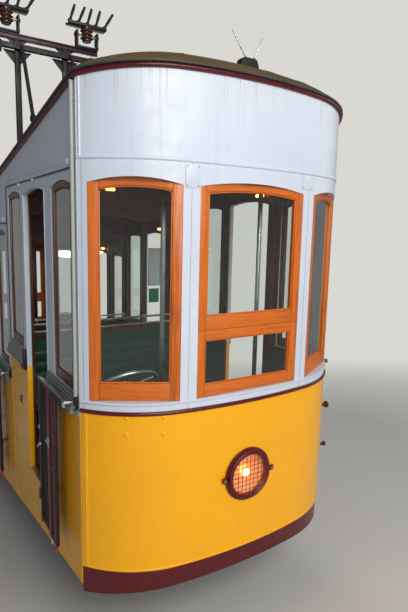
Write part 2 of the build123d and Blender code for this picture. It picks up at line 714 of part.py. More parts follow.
# Roof: a shallow dome with rounded ends over the trim
ROOF_CORNER_Y = CORNER_Y - ROOF_LINE * sin(TILT)
ROOF_STAGES = (
    # rise above the roof's foot, inset of the plan, squeeze towards the centre plane
    (ROOF_EDGE, -ROOF_OVERHANG, 1),
    (ROOF_EDGE + 92, 80, 0.95),
    (ROOF_EDGE + 160, 230, 0.86),
    (ROOF_EDGE + 202, 480, 0.74),
)
CEILING_STAGES = (
    # rise above the roof's foot, inset of the plan, squeeze towards the centre plane
    (-1, WALL + 10, 1),
    (ROOF_EDGE + 36, 110, 0.95),
    (ROOF_EDGE + 110, 265, 0.86),
    (ROOF_EDGE + 156, 500, 0.74),
)
ROOF_RISE = ROOF_STAGES[-1][0]


def roof_plane(rise):
    return Plane(origin=(0, ROOF_CORNER_Y, ROOF_BASE_Z + rise), x_dir=(1, 0, 0), z_dir=(0, 0, 1))


def roof_sections(stages):
    return [closed_plan(roof_plane(rise), inset, TRACK_LENGTH, squeeze) for rise, inset, squeeze in stages]


with BuildPart() as roof:
    extrude(closed_plan(roof_plane(0), -ROOF_OVERHANG, TRACK_LENGTH), amount=ROOF_EDGE)
    loft(roof_sections(ROOF_STAGES))
    loft(roof_sections(CEILING_STAGES), mode=Mode.SUBTRACT)
save(roof, "roof")

# Drain pipes down the corners
PIPE_RADIUS = 12
PIPE_ALONG = 44

with BuildPart() as drain_pipes:
    for side in SIDES.values():
        for index, along in ((0, PIPE_ALONG), (SECTION_COUNT - 1, SECTION_LENGTH - PIPE_ALONG)):
            frame = section_frame(index)
            x = side * (HALF_WIDTH + PIPE_RADIUS)
            foot = frame.from_local_coords((x, along, SILL))
            rod(foot, frame.from_local_coords((x, along, ROOF_LINE + 2 * TRIM_HEIGHT)), PIPE_RADIUS)
    split(bisect_by=Plane.XY.offset(TRIM_Z), keep=Keep.BOTTOM)
save(drain_pipes, "drain_pipes")

# Headlights: a ring with a barrel through the panel, a wire guard and a lens
RING_RADIUS = 172
LENS_RADIUS = 132
LENS_THICK = 12
RING_DEPTH = 34
LUG = (RING_RADIUS - 6, RING_RADIUS + 26)
LUG_HALF = 16
LUG_DEPTH = (4, 22)
GUARD_WIRES = 7
GUARD_PITCH = 30
GUARD_WIRE = 4


def lamp_frame(end):
    """Frame of a headlight: its normal points out of the car, its y up."""
    frame = end_frame(end)
    origin = frame.from_local_coords((0, BULGE, LAMP_HEIGHT))
    return Plane(origin=origin, x_dir=-frame.x_dir, z_dir=frame.y_dir)


with BuildPart() as headlights:
    for end in ENDS:
        frame = lamp_frame(end)
        with Locations(frame.location):
            Cylinder(RING_RADIUS, RING_DEPTH, align=(Align.CENTER, Align.CENTER, Align.MIN))
            Cylinder(LAMP_BARREL, 2 * WALL, align=(Align.CENTER, Align.CENTER, Align.MAX))
            Cylinder(LENS_RADIUS, 3 * WALL, mode=Mode.SUBTRACT)
        with Locations(frame.offset(-2 * WALL).location):
            Cylinder(LAMP_BARREL, WALL / 4, align=(Align.CENTER, Align.CENTER, Align.MIN))
        for number in range(GUARD_WIRES):
            at = (number - (GUARD_WIRES - 1) / 2) * GUARD_PITCH
            reach = sqrt(LENS_RADIUS**2 - at**2) + GUARD_WIRE
            wire = (at - GUARD_WIRE / 2, at + GUARD_WIRE / 2)
            depth = (RING_DEPTH - 2 * GUARD_WIRE, RING_DEPTH - GUARD_WIRE)
            block(frame, wire, (-reach, reach), depth)
            block(frame, (-reach, reach), wire, depth)
        # Lugs that hold the ring, left and right
        for side in SIDES.values():
            block(frame, sorted((side * LUG[0], side * LUG[1])), (-LUG_HALF, LUG_HALF), LUG_DEPTH)
save(headlights, "headlights")

with BuildPart() as headlight_lenses:
    for end in ENDS:
        with Locations(lamp_frame(end).location):
            Cylinder(LENS_RADIUS, LENS_THICK, align=(Align.CENTER, Align.CENTER, Align.MIN))
save(headlight_lenses, "headlight_lenses")

# Bulkheads at the steps between compartments
BULKHEAD_OPENINGS = ((-860, -330), (-280, 280), (330, 860))
BULKHEAD_SILL = 1180
BULKHEAD_HEAD = 2230

with BuildPart() as bulkheads:
    for index in range(SECTION_COUNT - 1):
        inner = HALF_WIDTH - WALL
        frame = section_frame(index)
        along = (SECTION_LENGTH - BULKHEAD_THICK, SECTION_LENGTH)
        block(frame, (-inner, inner), along, (FLOOR_TOP - SECTION_DROP, ROOF_LINE + TRIM_HEIGHT))
        for span in BULKHEAD_OPENINGS:
            through = (along[0] - 1, along[1] + 1)
            block(frame, span, through, (BULKHEAD_SILL, BULKHEAD_HEAD), Mode.SUBTRACT)
    split(bisect_by=Plane.XY.offset(ROOF_BASE_Z), keep=Keep.BOTTOM)
save(bulkheads, "bulkheads")

# Benches against the bulkheads
BENCH_DEPTH = 400
BENCH_HEIGHT = 430
BENCH_THICK = 36
BENCH_LEG = 40
# compartment, side of it that the bench backs on: -1 up the hill, 1 down the hill
BENCHES = ((0, 1), (1, -1), (1, 1), (2, -1))

BENCH_SEAT = FLOOR_TOP + BENCH_HEIGHT


def bench_reach(facing, front_inset):
    """Along the compartment, from a bench's back to its front less an inset."""
    back = SECTION_LENGTH - BULKHEAD_THICK if facing > 0 else 0
    return sorted((back, back - facing * (BENCH_DEPTH - front_inset)))


with BuildPart() as bench_seats:
    for index, facing in BENCHES:
        across = (-HALF_WIDTH + WALL, HALF_WIDTH - WALL)
        block(section_frame(index), across, bench_reach(facing, 0), (BENCH_SEAT - BENCH_THICK, BENCH_SEAT))
save(bench_seats, "bench_seats")

with BuildPart() as bench_frames:
    for index, facing in BENCHES:
        inner = HALF_WIDTH - WALL
        for x in (-inner, -BENCH_LEG / 2, inner - BENCH_LEG):
            heights = (FLOOR_TOP, BENCH_SEAT - BENCH_THICK)
            block(section_frame(index), (x, x + BENCH_LEG), bench_reach(facing, BENCH_LEG), heights)
save(bench_frames, "bench_frames")

# Hand brake: a column on the floor of each end with a tilted wheel
BRAKE_X = 660
BRAKE_OUT = -20
BRAKE_TOP = 1120
BRAKE_WHEEL_RADIUS = 195
BRAKE_RIM = 13
BRAKE_TILT = 40
BRAKE_COLUMN_RADIUS = 30
BRAKE_FOOT_HALF = 80
BRAKE_FOOT_THICK = 20
BRAKE_HUB_RADIUS = 34
BRAKE_HUB_THICK = 30
BRAKE_WHEEL_LIFT = 60
SPINDLE_RADIUS = 18
SPOKE_RADIUS = 9
SPOKE_START = 24
SPOKES = (30, 150, 270)

with BuildPart() as brake_columns:
    for end in ENDS:
        frame = end_frame(end)
        foot = (BRAKE_X, BRAKE_OUT, FLOOR_TOP)
        top = (BRAKE_X, BRAKE_OUT, BRAKE_TOP)
        rod(frame.from_local_coords(foot), frame.from_local_coords(top), BRAKE_COLUMN_RADIUS)
        across = (BRAKE_X - BRAKE_FOOT_HALF, BRAKE_X + BRAKE_FOOT_HALF)
        along = (BRAKE_OUT - BRAKE_FOOT_HALF, BRAKE_OUT + BRAKE_FOOT_HALF)
        block(frame, across, along, (FLOOR_TOP, FLOOR_TOP + BRAKE_FOOT_THICK))
        wheel = Plane(frame.location * Location(top) * Location((0, 0, 0), (BRAKE_TILT, 0, 0)))
        with Locations(wheel.offset(BRAKE_WHEEL_LIFT).location):
            Torus(BRAKE_WHEEL_RADIUS, BRAKE_RIM)
            Cylinder(BRAKE_HUB_RADIUS, BRAKE_HUB_THICK)
        spindle = wheel.from_local_coords((0, 0, -SPINDLE_RADIUS))
        rod(spindle, wheel.from_local_coords((0, 0, BRAKE_WHEEL_LIFT)), SPINDLE_RADIUS)
        for turn in SPOKES:
            out = Vector(cos(radians(turn)), sin(radians(turn)), 0)
            lift = Vector(0, 0, BRAKE_WHEEL_LIFT)
            start = wheel.from_local_coords(out * SPOKE_START + lift)
            rod(start, wheel.from_local_coords(out * BRAKE_WHEEL_RADIUS + lift), SPOKE_RADIUS)
save(brake_columns, "brake_columns")

# Poles and rails to hold
POLE_RADIUS = 16
RAIL_RADIUS = 11
# compartment, across, along
POLES = ((0, -380, 120), (0, 380, 120), (2, -380, SECTION_LENGTH - 120), (2, 380, SECTION_LENGTH - 120))
# how far above the roof line each end's poles run up, into the ceiling
POLE_HEADS = {0: 185, SECTION_COUNT - 1: 185 - SECTION_DROP}
RAIL_HEIGHTS = (1195, 1262)
RAIL_STANDOFF = 40
RAIL_HALF = 880
RAIL_BRACKETS = (-860, -305, 305, 860)
BRACKET_HALF = 8

with BuildPart() as handrails:
    for index, x, along in POLES:
        frame = section_frame(index)
        foot = frame.from_local_coords((x, along, FLOOR_TOP))
        rod(foot, frame.from_local_coords((x, along, ROOF_LINE + POLE_HEADS[index])), POLE_RADIUS)
    for index in range(SECTION_COUNT - 1):
        frame = section_frame(index)
        wall = SECTION_LENGTH - BULKHEAD_THICK
        along = wall - RAIL_STANDOFF
        for height in RAIL_HEIGHTS:
            left = frame.from_local_coords((-RAIL_HALF, along, height))
            rod(left, frame.from_local_coords((RAIL_HALF, along, height)), RAIL_RADIUS)
        for x in RAIL_BRACKETS:
            block(frame, (x - BRACKET_HALF, x + BRACKET_HALF), (along, wall), RAIL_HEIGHTS)
    add(roof.part, mode=Mode.SUBTRACT)
save(handrails, "handrails")

# Collector gantry on the roof: two posts with fore-and-aft braces, and two cross beams
GANTRY_ALONG = SECTION_LENGTH - 516
# across, height of the foot
GANTRY_POSTS = ((-950, 2700), (-605, 2850))
GANTRY_BRACES = ((-930, 2795), (-575, 2922))
GANTRY_BEAM = (-1150, -350)
GANTRY_LOWER = (3360, 3396)
GANTRY_UPPER = (3436, 3476)
POST_HALF = 19
BRACE_ALONG = (GANTRY_ALONG - 346, GANTRY_ALONG - 3 * POST_HALF)
BRACE_TOP = sum(GANTRY_LOWER) / 2
BRACE_RADIUS = 13

with BuildPart() as gantry_posts:
    along = (GANTRY_ALONG - POST_HALF, GANTRY_ALONG + POST_HALF)
    for x, foot in GANTRY_POSTS:
        block(section_frame(0), (x - POST_HALF, x + POST_HALF), along, (foot, GANTRY_UPPER[0]))
    add(roof.part, mode=Mode.SUBTRACT)
save(gantry_posts, "gantry_posts")

# The lower beam is bolted to the posts' uphill faces, the upper one lies on their tops
with BuildPart() as gantry_beams:
    lower_along = (GANTRY_ALONG - 3 * POST_HALF, GANTRY_ALONG - POST_HALF)
    block(section_frame(0), GANTRY_BEAM, lower_along, GANTRY_LOWER)
    block(section_frame(0), GANTRY_BEAM, along, GANTRY_UPPER)
save(gantry_beams, "gantry_beams")

# Braces from the roof up to the lower beam
with BuildPart() as gantry_braces:
    frame = section_frame(0)
    for x, foot in GANTRY_BRACES:
        low = frame.from_local_coords((x, BRACE_ALONG[0], foot))
        rod(low, frame.from_local_coords((x, BRACE_ALONG[1], BRACE_TOP)), BRACE_RADIUS)
    add(roof.part, mode=Mode.SUBTRACT)
    add(gantry_beams.part, mode=Mode.SUBTRACT)
save(gantry_braces, "gantry_braces")

# Collector heads on the upper beam: a cradle, a drum on its pin, a cross arm and contact fingers
HEAD_X = (-1020, -433)
CRADLE_HALF = 86
CRADLE_DEPTH_HALF = 30
CRADLE_THICK = 14
CRADLE_HEIGHT = 124
DRUM_RADIUS = 48
DRUM_LIFT = 51
DRUM_HEIGHT = 101
DRUM_PIN_RADIUS = 10
ARM_HALF = (150, 40)
ARM_THICK = 22
FINGERS = (
    # from the head's middle across to the finger's foot, lean across to its tip
    (-134, 45),
    (-70, 60),
    (2, 42),
    (70, 42),
    (132, 85),
)
FINGER_RADIUS = 11
FINGER_HEIGHT = 140

with BuildPart() as collector_heads:
    frame = section_frame(0)
    beam_top = GANTRY_UPPER[1]
    pin_height = beam_top + CRADLE_HEIGHT - CRADLE_DEPTH_HALF
    arm = beam_top + DRUM_LIFT + DRUM_HEIGHT
    for x in HEAD_X:
        reach = (GANTRY_ALONG - CRADLE_DEPTH_HALF, GANTRY_ALONG + CRADLE_DEPTH_HALF)
        block(frame, (x - CRADLE_HALF, x + CRADLE_HALF), reach, (beam_top, beam_top + CRADLE_THICK))
        for side in SIDES.values():
            leg = sorted((x + side * (CRADLE_HALF - CRADLE_THICK), x + side * CRADLE_HALF))
            block(frame, leg, reach, (beam_top, beam_top + CRADLE_HEIGHT))
        left = frame.from_local_coords((x - CRADLE_HALF, GANTRY_ALONG, pin_height))
        rod(left, frame.from_local_coords((x + CRADLE_HALF, GANTRY_ALONG, pin_height)), DRUM_PIN_RADIUS)
        low = frame.from_local_coords((x, GANTRY_ALONG, beam_top + DRUM_LIFT))
        rod(low, frame.from_local_coords((x, GANTRY_ALONG, arm)), DRUM_RADIUS)
        reach = (GANTRY_ALONG - ARM_HALF[1], GANTRY_ALONG + ARM_HALF[1])
        block(frame, (x - ARM_HALF[0], x + ARM_HALF[0]), reach, (arm, arm + ARM_THICK))
        for offset, lean in FINGERS:
            start = frame.from_local_coords((x + offset, GANTRY_ALONG, arm + ARM_THICK / 2))
            tip = (x + offset + lean, GANTRY_ALONG, arm + ARM_THICK / 2 + FINGER_HEIGHT)
            rod(start, frame.from_local_coords(tip), FINGER_RADIUS)
save(collector_heads, "collector_heads")

# Aerial: two rods in a V on a small base at the front of the roof
AERIAL_ALONG = -100
AERIAL_FOOT = ROOF_LINE + 150
AERIAL_BASE = (-5, 130)
AERIAL_BASE_HALF = 30
AERIAL_BASE_HEIGHT = 105
AERIAL_ROD_RADIUS = 5
AERIAL_RODS = ((60, -55), (100, 170))
AERIAL_ROD_HEIGHTS = (90, 245)
AERIAL_CUT = 60

with BuildPart() as aerial:
    frame = section_frame(0)
    reach = (AERIAL_ALONG - AERIAL_BASE_HALF, AERIAL_ALONG + AERIAL_BASE_HALF)
    block(frame, AERIAL_BASE, reach, (AERIAL_FOOT, AERIAL_FOOT + AERIAL_BASE_HEIGHT))
    for start, stop in AERIAL_RODS:
        low = frame.from_local_coords((start, AERIAL_ALONG, AERIAL_FOOT + AERIAL_ROD_HEIGHTS[0]))
        high = frame.from_local_coords((stop, AERIAL_ALONG, AERIAL_FOOT + AERIAL_ROD_HEIGHTS[1]))
        rod(low, high, AERIAL_ROD_RADIUS)
    add(roof.part, mode=Mode.SUBTRACT)
    split(bisect_by=Plane.XY.offset(ROOF_BASE_Z + ROOF_RISE - AERIAL_CUT), keep=Keep.TOP)
save(aerial, "aerial")

# Gates: top bar, hinge stile with knuckles, slats and leading stile
for name, side in SIDES.items():
    for index, section_name in enumerate(SECTION_NAMES):
        with BuildPart() as gate:
            frame = section_frame(index)
            x = side * (HALF_WIDTH + GATE_OFFSET)
            thick = (x - GATE_THICK / 2, x + GATE_THICK / 2)
            under_bar = GATE_TOP - GATE_BAR_HEIGHT
            block(frame, thick, GATE_BAR, (under_bar, GATE_TOP))
            block(frame, thick, HINGE_STILE, (GATE_FOOT, under_bar))
            block(frame, thick, (LEAD_STILE[0], LEAD_STILE[0] + LEAD_BAR), (GATE_FOOT, under_bar))
            block(frame, thick, (LEAD_STILE[1] - LEAD_BAR, LEAD_STILE[1]), (GATE_FOOT, under_bar))
            slat = (x - SLAT_THICK / 2, x + SLAT_THICK / 2)
            block(frame, slat, LEAD_STILE, (GATE_FOOT, under_bar))
            for number in range(SLAT_COUNT):
                low = LEAD_STILE[1] + SLAT_START + number * SLAT_PITCH
                block(frame, slat, (low, low + SLAT_WIDTH), (GATE_FOOT, under_bar))
            for height in (GATE_FOOT + 60, (GATE_FOOT + under_bar) / 2, under_bar - 80):
                block(frame, slat, (LEAD_STILE[1], HINGE_STILE[0]), (height, height + CROSS_SLAT_HEIGHT))
            for height in HINGE_HEIGHTS:
                knuckle = (height + SEAT_GAP, height + KNUCKLE_LENGTH)
                low = frame.from_local_coords((x, HINGE_ALONG, knuckle[0]))
                rod(low, frame.from_local_coords((x, HINGE_ALONG, knuckle[1])), KNUCKLE_RADIUS)
                block(frame, slat, (HINGE_STILE[1], HINGE_ALONG), knuckle)
            for height in HINGE_HEIGHTS:
                low = frame.from_local_coords((x, HINGE_ALONG, height - KNUCKLE_LENGTH))
                high = frame.from_local_coords((x, HINGE_ALONG, height + 2 * KNUCKLE_LENGTH))
                rod(low, high, PIN_RADIUS + PIN_CLEARANCE, Mode.SUBTRACT)
        save(gate, "gate_" + name + "_" + section_name)

# Hinge brackets, keepers for the parked bars and catches for the closed ones
with BuildPart() as gate_hinges:
    for side in SIDES.values():
        for index in range(SECTION_COUNT):
            frame = section_frame(index)
            x = side * (HALF_WIDTH + GATE_OFFSET)
            across = sorted((side * HALF_WIDTH, x))
            for height in HINGE_HEIGHTS:
                along = (HINGE_ALONG - KNUCKLE_RADIUS, HINGE_ALONG + KNUCKLE_RADIUS)
                block(frame, across, along, (height - BRACKET_THICK, height))
                low = frame.from_local_coords((x, HINGE_ALONG, height - BRACKET_THICK))
                rod(low, frame.from_local_coords((x, HINGE_ALONG, height)), KNUCKLE_RADIUS)
                rod(low, frame.from_local_coords((x, HINGE_ALONG, height + KNUCKLE_LENGTH)), PIN_RADIUS)
save(gate_hinges, "gate_hinges")

KEEPER_ALONG = (50, 62)
KEEPER_FOOT = GATE_TOP - 40
KEEPER_HEAD = GATE_TOP + 4
CATCH_ALONG = (DOORWAY[1] + 4, DOORWAY[1] + 60)
CATCH_DEPTH = 24
CATCH_FOOT = SIDE_WAIST - 30
CATCH_HEIGHT = 155

with BuildPart() as gate_fittings:
    for side in SIDES.values():
        for index in range(SECTION_COUNT):
            frame = section_frame(index)
            reach = sorted((side * HALF_WIDTH, side * (HALF_WIDTH + GATE_OFFSET + GATE_THICK)))
            block(frame, reach, KEEPER_ALONG, (KEEPER_FOOT, KEEPER_HEAD))
            box = sorted((side * HALF_WIDTH, side * (HALF_WIDTH + CATCH_DEPTH)))
            block(frame, box, CATCH_ALONG, (CATCH_FOOT, CATCH_FOOT + CATCH_HEIGHT))
save(gate_fittings, "gate_fittings")
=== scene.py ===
import random
from math import asin, atan, ceil, cos, pi, radians, sin, sqrt, tan

import bmesh
import bpy
from mathutils import Matrix, Vector


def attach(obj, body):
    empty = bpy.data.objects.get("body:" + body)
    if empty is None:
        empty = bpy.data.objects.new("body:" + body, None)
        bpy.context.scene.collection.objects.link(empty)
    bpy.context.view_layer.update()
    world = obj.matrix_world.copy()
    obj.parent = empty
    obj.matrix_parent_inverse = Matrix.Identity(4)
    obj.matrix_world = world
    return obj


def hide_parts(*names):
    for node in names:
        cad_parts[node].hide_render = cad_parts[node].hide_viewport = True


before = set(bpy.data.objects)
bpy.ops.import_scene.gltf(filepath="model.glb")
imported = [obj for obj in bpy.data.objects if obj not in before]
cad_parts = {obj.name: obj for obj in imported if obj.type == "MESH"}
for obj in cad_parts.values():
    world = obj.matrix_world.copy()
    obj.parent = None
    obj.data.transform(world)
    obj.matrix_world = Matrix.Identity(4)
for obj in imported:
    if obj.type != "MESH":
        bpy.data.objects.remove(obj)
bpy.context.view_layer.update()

bl_info = {
    "name": "Stepped funicular car",
    "version": (1, 0, 0),
    "blender": (4, 5, 0),
    "location": "3D View > Sidebar > Funicular",
    "description": "Dresses a stepped funicular car with its coachwork, joinery, glass and running gear",
    "category": "Add Mesh",
}

# Body of the car, in metres, as its frame has it
SECTIONS = 3
SECTION_LENGTH = 1.83
SECTION_DROP = 0.3
HALF_WIDTH = 0.96
WALL = 0.04
INNER = HALF_WIDTH - WALL
SKIRT_Z = 0.456
SKIRT_HEIGHT = 0.118
BULGE = 0.331
END_MID_RADIUS = 3.115
END_JOIN_X = 0.48
FLOOR_TOP = 0.2
SIDE_WAIST = 1.037
END_WAIST = 1.088
SILL = 1.159
WINDOW_HEAD = 2.35
HEAD_RISE = 0.034
FASCIA_FOOT = 2.469
ROOF_LINE = 2.88
END_WINDOW_FOOT = 1.15
MID_WINDOW = (-0.378, 0.378)
OUTER_WINDOWS = ((-0.924, -0.479), (0.479, 0.924))
SIDE_WINDOWS = ((0.113, 0.511), (1.347, 1.77))
DOORWAY = (0.657, 1.25)
LAMP_HEIGHT = 0.608
LENS_RADIUS = 0.132
TRIM_HEIGHT = 0.026
TRIM_PROUD = 0.02
ROOF_OVERHANG = 0.028
ROOF_EDGE = 0.01
GATE_X = HALF_WIDTH + 0.066
GATE_THICK = 0.024
GATE_TOP, GATE_FOOT = 1.13, 0.1
GATE_BAR = (0.068, 0.64)
GATE_BAR_HEIGHT = 0.03
HINGE_STILE = (0.598, 0.636)
LEAD_STILE = (0.275, 0.44)
LEAD_BAR = 0.055
SLAT_START, SLAT_PITCH = 0.45, 0.038
SLAT_WIDTH, SLAT_THICK = 0.022, 0.008
LATHS = (0.16, 0.6, 1.02)
HINGE_HEIGHTS = (0.26, 0.94)
KNUCKLE_LENGTH = 0.06
CATCH_ALONG = (1.254, 1.31)
CATCH_RISE = (1.007, 1.162)
GANTRY_ALONG = SECTION_LENGTH - 0.516
GANTRY_POSTS = ((-0.95, 2.7), (-0.605, 2.85))  # across, foot
GANTRY_BRACES = ((-0.93, 2.795), (-0.575, 2.922))  # across, foot
BRACE_ALONG = (GANTRY_ALONG - 0.346, GANTRY_ALONG - 0.057)
GANTRY_BEAM = (-1.15, -0.35)
GANTRY_LOWER, GANTRY_UPPER = (3.36, 3.396), (3.436, 3.476)
HEAD_X = (-1.02, -0.433)
FINGERS = ((-0.134, 0.045), (-0.07, 0.06), (0.002, 0.042), (0.07, 0.042), (0.132, 0.085))  # across, lean
AERIAL_ALONG = -0.1
BULKHEAD = 0.035
BULKHEAD_OPENINGS = ((-0.86, -0.33), (-0.28, 0.28), (0.33, 0.86))
BULKHEAD_SILL, BULKHEAD_HEAD = 1.18, 2.23
BENCHES = ((0, 1), (1, -1), (1, 1), (2, -1))  # compartment, side of it that the bench backs on
BENCH_DEPTH, BENCH_SEAT, BENCH_THICK = 0.4, 0.63, 0.036
POLES = ((0, 0.12, 3.055), (2, SECTION_LENGTH - 0.12, 2.755))  # compartment, along, head
POLE_X, POLE_RADIUS = 0.38, 0.016
RAIL_HEIGHTS, RAIL_HALF, RAIL_RADIUS = (1.195, 1.262), 0.88, 0.011
BRAKE_PLACE, BRAKE_TOP = (0.66, -0.02), 1.12
BRAKE_WHEEL, BRAKE_RIM, BRAKE_TILT, BRAKE_LIFT = 0.195, 0.013, 40, 0.06
WHEELBASE, WHEEL_RADIUS, WHEEL_BACK = 3.1, 0.335, 0.415
JOURNAL = (0.57, 0.668)
FRAME_BOTTOM, GIRDER_X = 0.47, 0.62

TILT = atan(SECTION_DROP / SECTION_LENGTH)
PITCH = SECTION_LENGTH / cos(TILT)
TRACK_LENGTH = SECTIONS * PITCH
CORNER_Y = -TRACK_LENGTH / 2
TRIM_Z = SKIRT_Z + ROOF_LINE * cos(TILT)
ROOF_Z = TRIM_Z + TRIM_HEIGHT
ROOF_CORNER_Y = CORNER_Y - ROOF_LINE * sin(TILT)
NAMES = ("uphill", "middle", "downhill")
SIDES = {"left": -1, "right": 1}
ENDS = ("uphill", "downhill")
UP = Vector((0, 0, 1))

# The photograph's camera, solved in the car's level frame: metres and degrees
CAMERA_PLACE = (-1.837, -2.6365, 2.1085)
CAMERA_YAW, CAMERA_PITCH, CAMERA_ROLL = 32.72, -8.58, 1.35
FOCAL_PIXELS, PICTURE_HEIGHT = 495.5, 612


def move(*place):
    """Matrix that moves by x, y and z."""
    return Matrix.Translation(place)


def rotate(angle, axis):
    """Matrix that turns by an angle about an axis."""
    return Matrix.Rotation(angle, 4, axis)


def level(index):
    """Level frame of a compartment: x across the car, y down the hill, z up."""
    return move(0, CORNER_Y + index * PITCH, SKIRT_Z) @ rotate(TILT, "X")


# Compartments on both sides: side, number, level frame
BAYS = [(side, index, level(index)) for side in SIDES.values() for index in range(SECTIONS)]
END_FRAME = {
    "uphill": level(0) @ rotate(pi, "Z"),
    "downhill": level(SECTIONS - 1) @ move(0, SECTION_LENGTH, 0),
}


def end_foot(end):
    """Height of the lower edge of an end's yellow panel, in that end's level frame."""
    return SKIRT_HEIGHT if end == "uphill" else SKIRT_HEIGHT - SECTION_DROP


# The bow of an end, in its level frame with y out of the car
JOIN_ANGLE = asin(END_JOIN_X / END_MID_RADIUS)
JOIN = Vector((END_JOIN_X, BULGE - END_MID_RADIUS * (1 - cos(JOIN_ANGLE))))
JOIN_NORMAL = Vector((sin(JOIN_ANGLE), cos(JOIN_ANGLE)))
TO_CORNER = JOIN - Vector((HALF_WIDTH, 0))
SIDE_RADIUS = TO_CORNER.length_squared / (2 * TO_CORNER.dot(JOIN_NORMAL))
SIDE_CENTRE = JOIN - JOIN_NORMAL * SIDE_RADIUS
CORNER_ANGLE = asin((HALF_WIDTH - SIDE_CENTRE.x) / SIDE_RADIUS)


def bow(x):
    """Point on the bowed face at a distance across the car, and the face's outward normal there."""
    centre, radius = Vector((0, BULGE - END_MID_RADIUS)), END_MID_RADIUS
    if abs(x) > END_JOIN_X:
        centre, radius = Vector(((1 if x > 0 else -1) * SIDE_CENTRE.x, SIDE_CENTRE.y)), SIDE_RADIUS
    point = Vector((x, centre.y + sqrt(radius**2 - (x - centre.x) ** 2)))
    return point, (point - centre) / radius


def bow_stations(step):
    """Distances across the car for even steps along the bow."""
    count = ceil(SIDE_RADIUS * (CORNER_ANGLE - JOIN_ANGLE) / step)
    angles = [CORNER_ANGLE + (JOIN_ANGLE - CORNER_ANGLE) * k / count for k in range(count + 1)]
    middle = ceil(END_JOIN_X / step)
    half = [SIDE_CENTRE.x + SIDE_RADIUS * sin(a) for a in angles]
    half += [END_JOIN_X * k / middle for k in range(middle - 1, 0, -1)]
    return sorted([-x for x in half] + [0.0] + half)


def pair(side, near, far):
    """Low and high across the car, for two distances from its centre plane on one side."""
    return tuple(sorted((side * near, side * far)))


def about(middle, half):
    """Low and high on both sides of a middle."""
    return (middle - half, middle + half)


def roof_foot(along):
    """Height of the roof's foot at a place along a compartment, in its level frame."""
    return ROOF_LINE + TRIM_HEIGHT / cos(TILT) - along * tan(TILT)


SHARP = 0.6  # radians between faces from which an edge is rounded
SINK = 0.001  # how far mouldings and bolt heads reach into what carries them


class Piece:
    """The mesh of one piece, joined from parts that are each made in a frame of their own."""

    def __init__(self, seed=1):
        self.verts, self.faces, self.slots, self.grain = [], [], [], []
        self.random = random.Random(seed)

    def add(self, part, matrix=Matrix(), bevel=0.0, slot=0, along="z", segments=2):
        """Adds a bmesh part, rounds its edges, and keeps its own coordinates for grain along an axis."""
        if bevel:
            sharp = [e for e in part.edges if len(e.link_faces) == 2 and e.calc_face_angle(0) > SHARP]
            bmesh.ops.bevel(part, geom=sharp, offset=bevel, segments=segments, profile=0.5,
                            affect="EDGES", clamp_overlap=True)
        order = {"x": (1, 2, 0), "y": (2, 0, 1), "z": (0, 1, 2)}[along]
        shift = Vector([self.random.uniform(0, 9) for _ in range(3)])
        start = len(self.verts)
        part.verts.index_update()
        for vert in part.verts:
            self.verts.append(matrix @ vert.co)
            self.grain.append(Vector([vert.co[axis] for axis in order]) + shift)
        flip = matrix.determinant() < 0
        for face in part.faces:
            ring = [start + vert.index for vert in face.verts]
            self.faces.append(ring[::-1] if flip else ring)
            self.slots.append(face.material_index if slot is None else slot)
        part.free()

    def block(self, x, y, z, matrix=Matrix(), bevel=0.0, slot=0, along="z", segments=2):
        """Adds a block from (low, high) pairs."""
        self.add(box(x, y, z), matrix, bevel, slot, along, segments)

    def fix(self, part, matrix, place, out, slot=0):
        """Adds a part that stands on a place and points out along a direction."""
        self.add(part, matrix @ facing(place, out), 0, slot)

    def finish(self, name, finishes, slot, replaces="", body="car", angle=32):
        """Turns the parts into an object that rides on a body and may stand for solids of the frame."""
        mesh = bpy.data.meshes.new(name)
        mesh.from_pydata(self.verts, [], self.faces)
        for finish in finishes.split():
            mesh.materials.append(look(finish))
        mesh.polygons.foreach_set("material_index", self.slots)
        mesh.polygons.foreach_set("use_smooth", [True] * len(self.faces))
        grain = mesh.attributes.new("grain", "FLOAT_VECTOR", "POINT")
        grain.data.foreach_set("vector", [c for v in self.grain for c in v])
        mesh.validate()
        mesh.update()
        mesh.set_sharp_from_angle(angle=radians(angle))
        piece = bpy.data.objects.new(name, mesh)
        bpy.context.scene.collection.objects.link(piece)
        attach(piece, body)
        if replaces:
            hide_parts(*replaces.split())


def join_rings(part, rings, slot=0):
    """Faces between rings of vertices; a ring of one vertex is a tip."""
    for a, b in zip(rings, rings[1:]):
        count = max(len(a), len(b))
        for k in range(count):
            n = (k + 1) % count
            corners = (a[k % len(a)], a[n % len(a)], b[n % len(b)], b[k % len(b)])
            face = list(dict.fromkeys(corners))
            if len(face) > 2:
                part.faces.new(face).material_index = slot


def closed(part):
    """The part, with all its faces looking out."""
    bmesh.ops.recalc_face_normals(part, faces=part.faces)
    return part


def box(x, y, z):
    """A block from (low, high) pairs."""
    part = bmesh.new()
    size = [high - low for low, high in (x, y, z)]
    centre = [(low + high) / 2 for low, high in (x, y, z)]
    bmesh.ops.create_cube(part, size=1, matrix=move(*centre) @ Matrix.Diagonal((*size, 1)))
    return part


def prism(outline, depth):
    """An outline of (x, y) points, extruded along z over a (low, high) pair."""
    part = bmesh.new()
    low, high = [[part.verts.new((x, y, z)) for x, y in outline] for z in depth]
    part.faces.new(low[::-1])
    part.faces.new(high)
    join_rings(part, [low, high])
    return closed(part)


def turned(profile, steps=32):
    """A round part from (radius, z) points, closed at its ends on the axis."""
    part = bmesh.new()
    rings = []
    for radius, z in profile:
        angles = [2 * pi * k / steps for k in range(steps if radius > 1e-6 else 1)]
        rings.append([part.verts.new((radius * cos(a), radius * sin(a), z)) for a in angles])
    join_rings(part, rings)
    return closed(part)


def aim(start, end):
    """Matrix whose z runs from one point towards another."""
    start, end = Vector(start), Vector(end)
    return move(*start) @ (end - start).to_track_quat("Z", "Y").to_matrix().to_4x4()


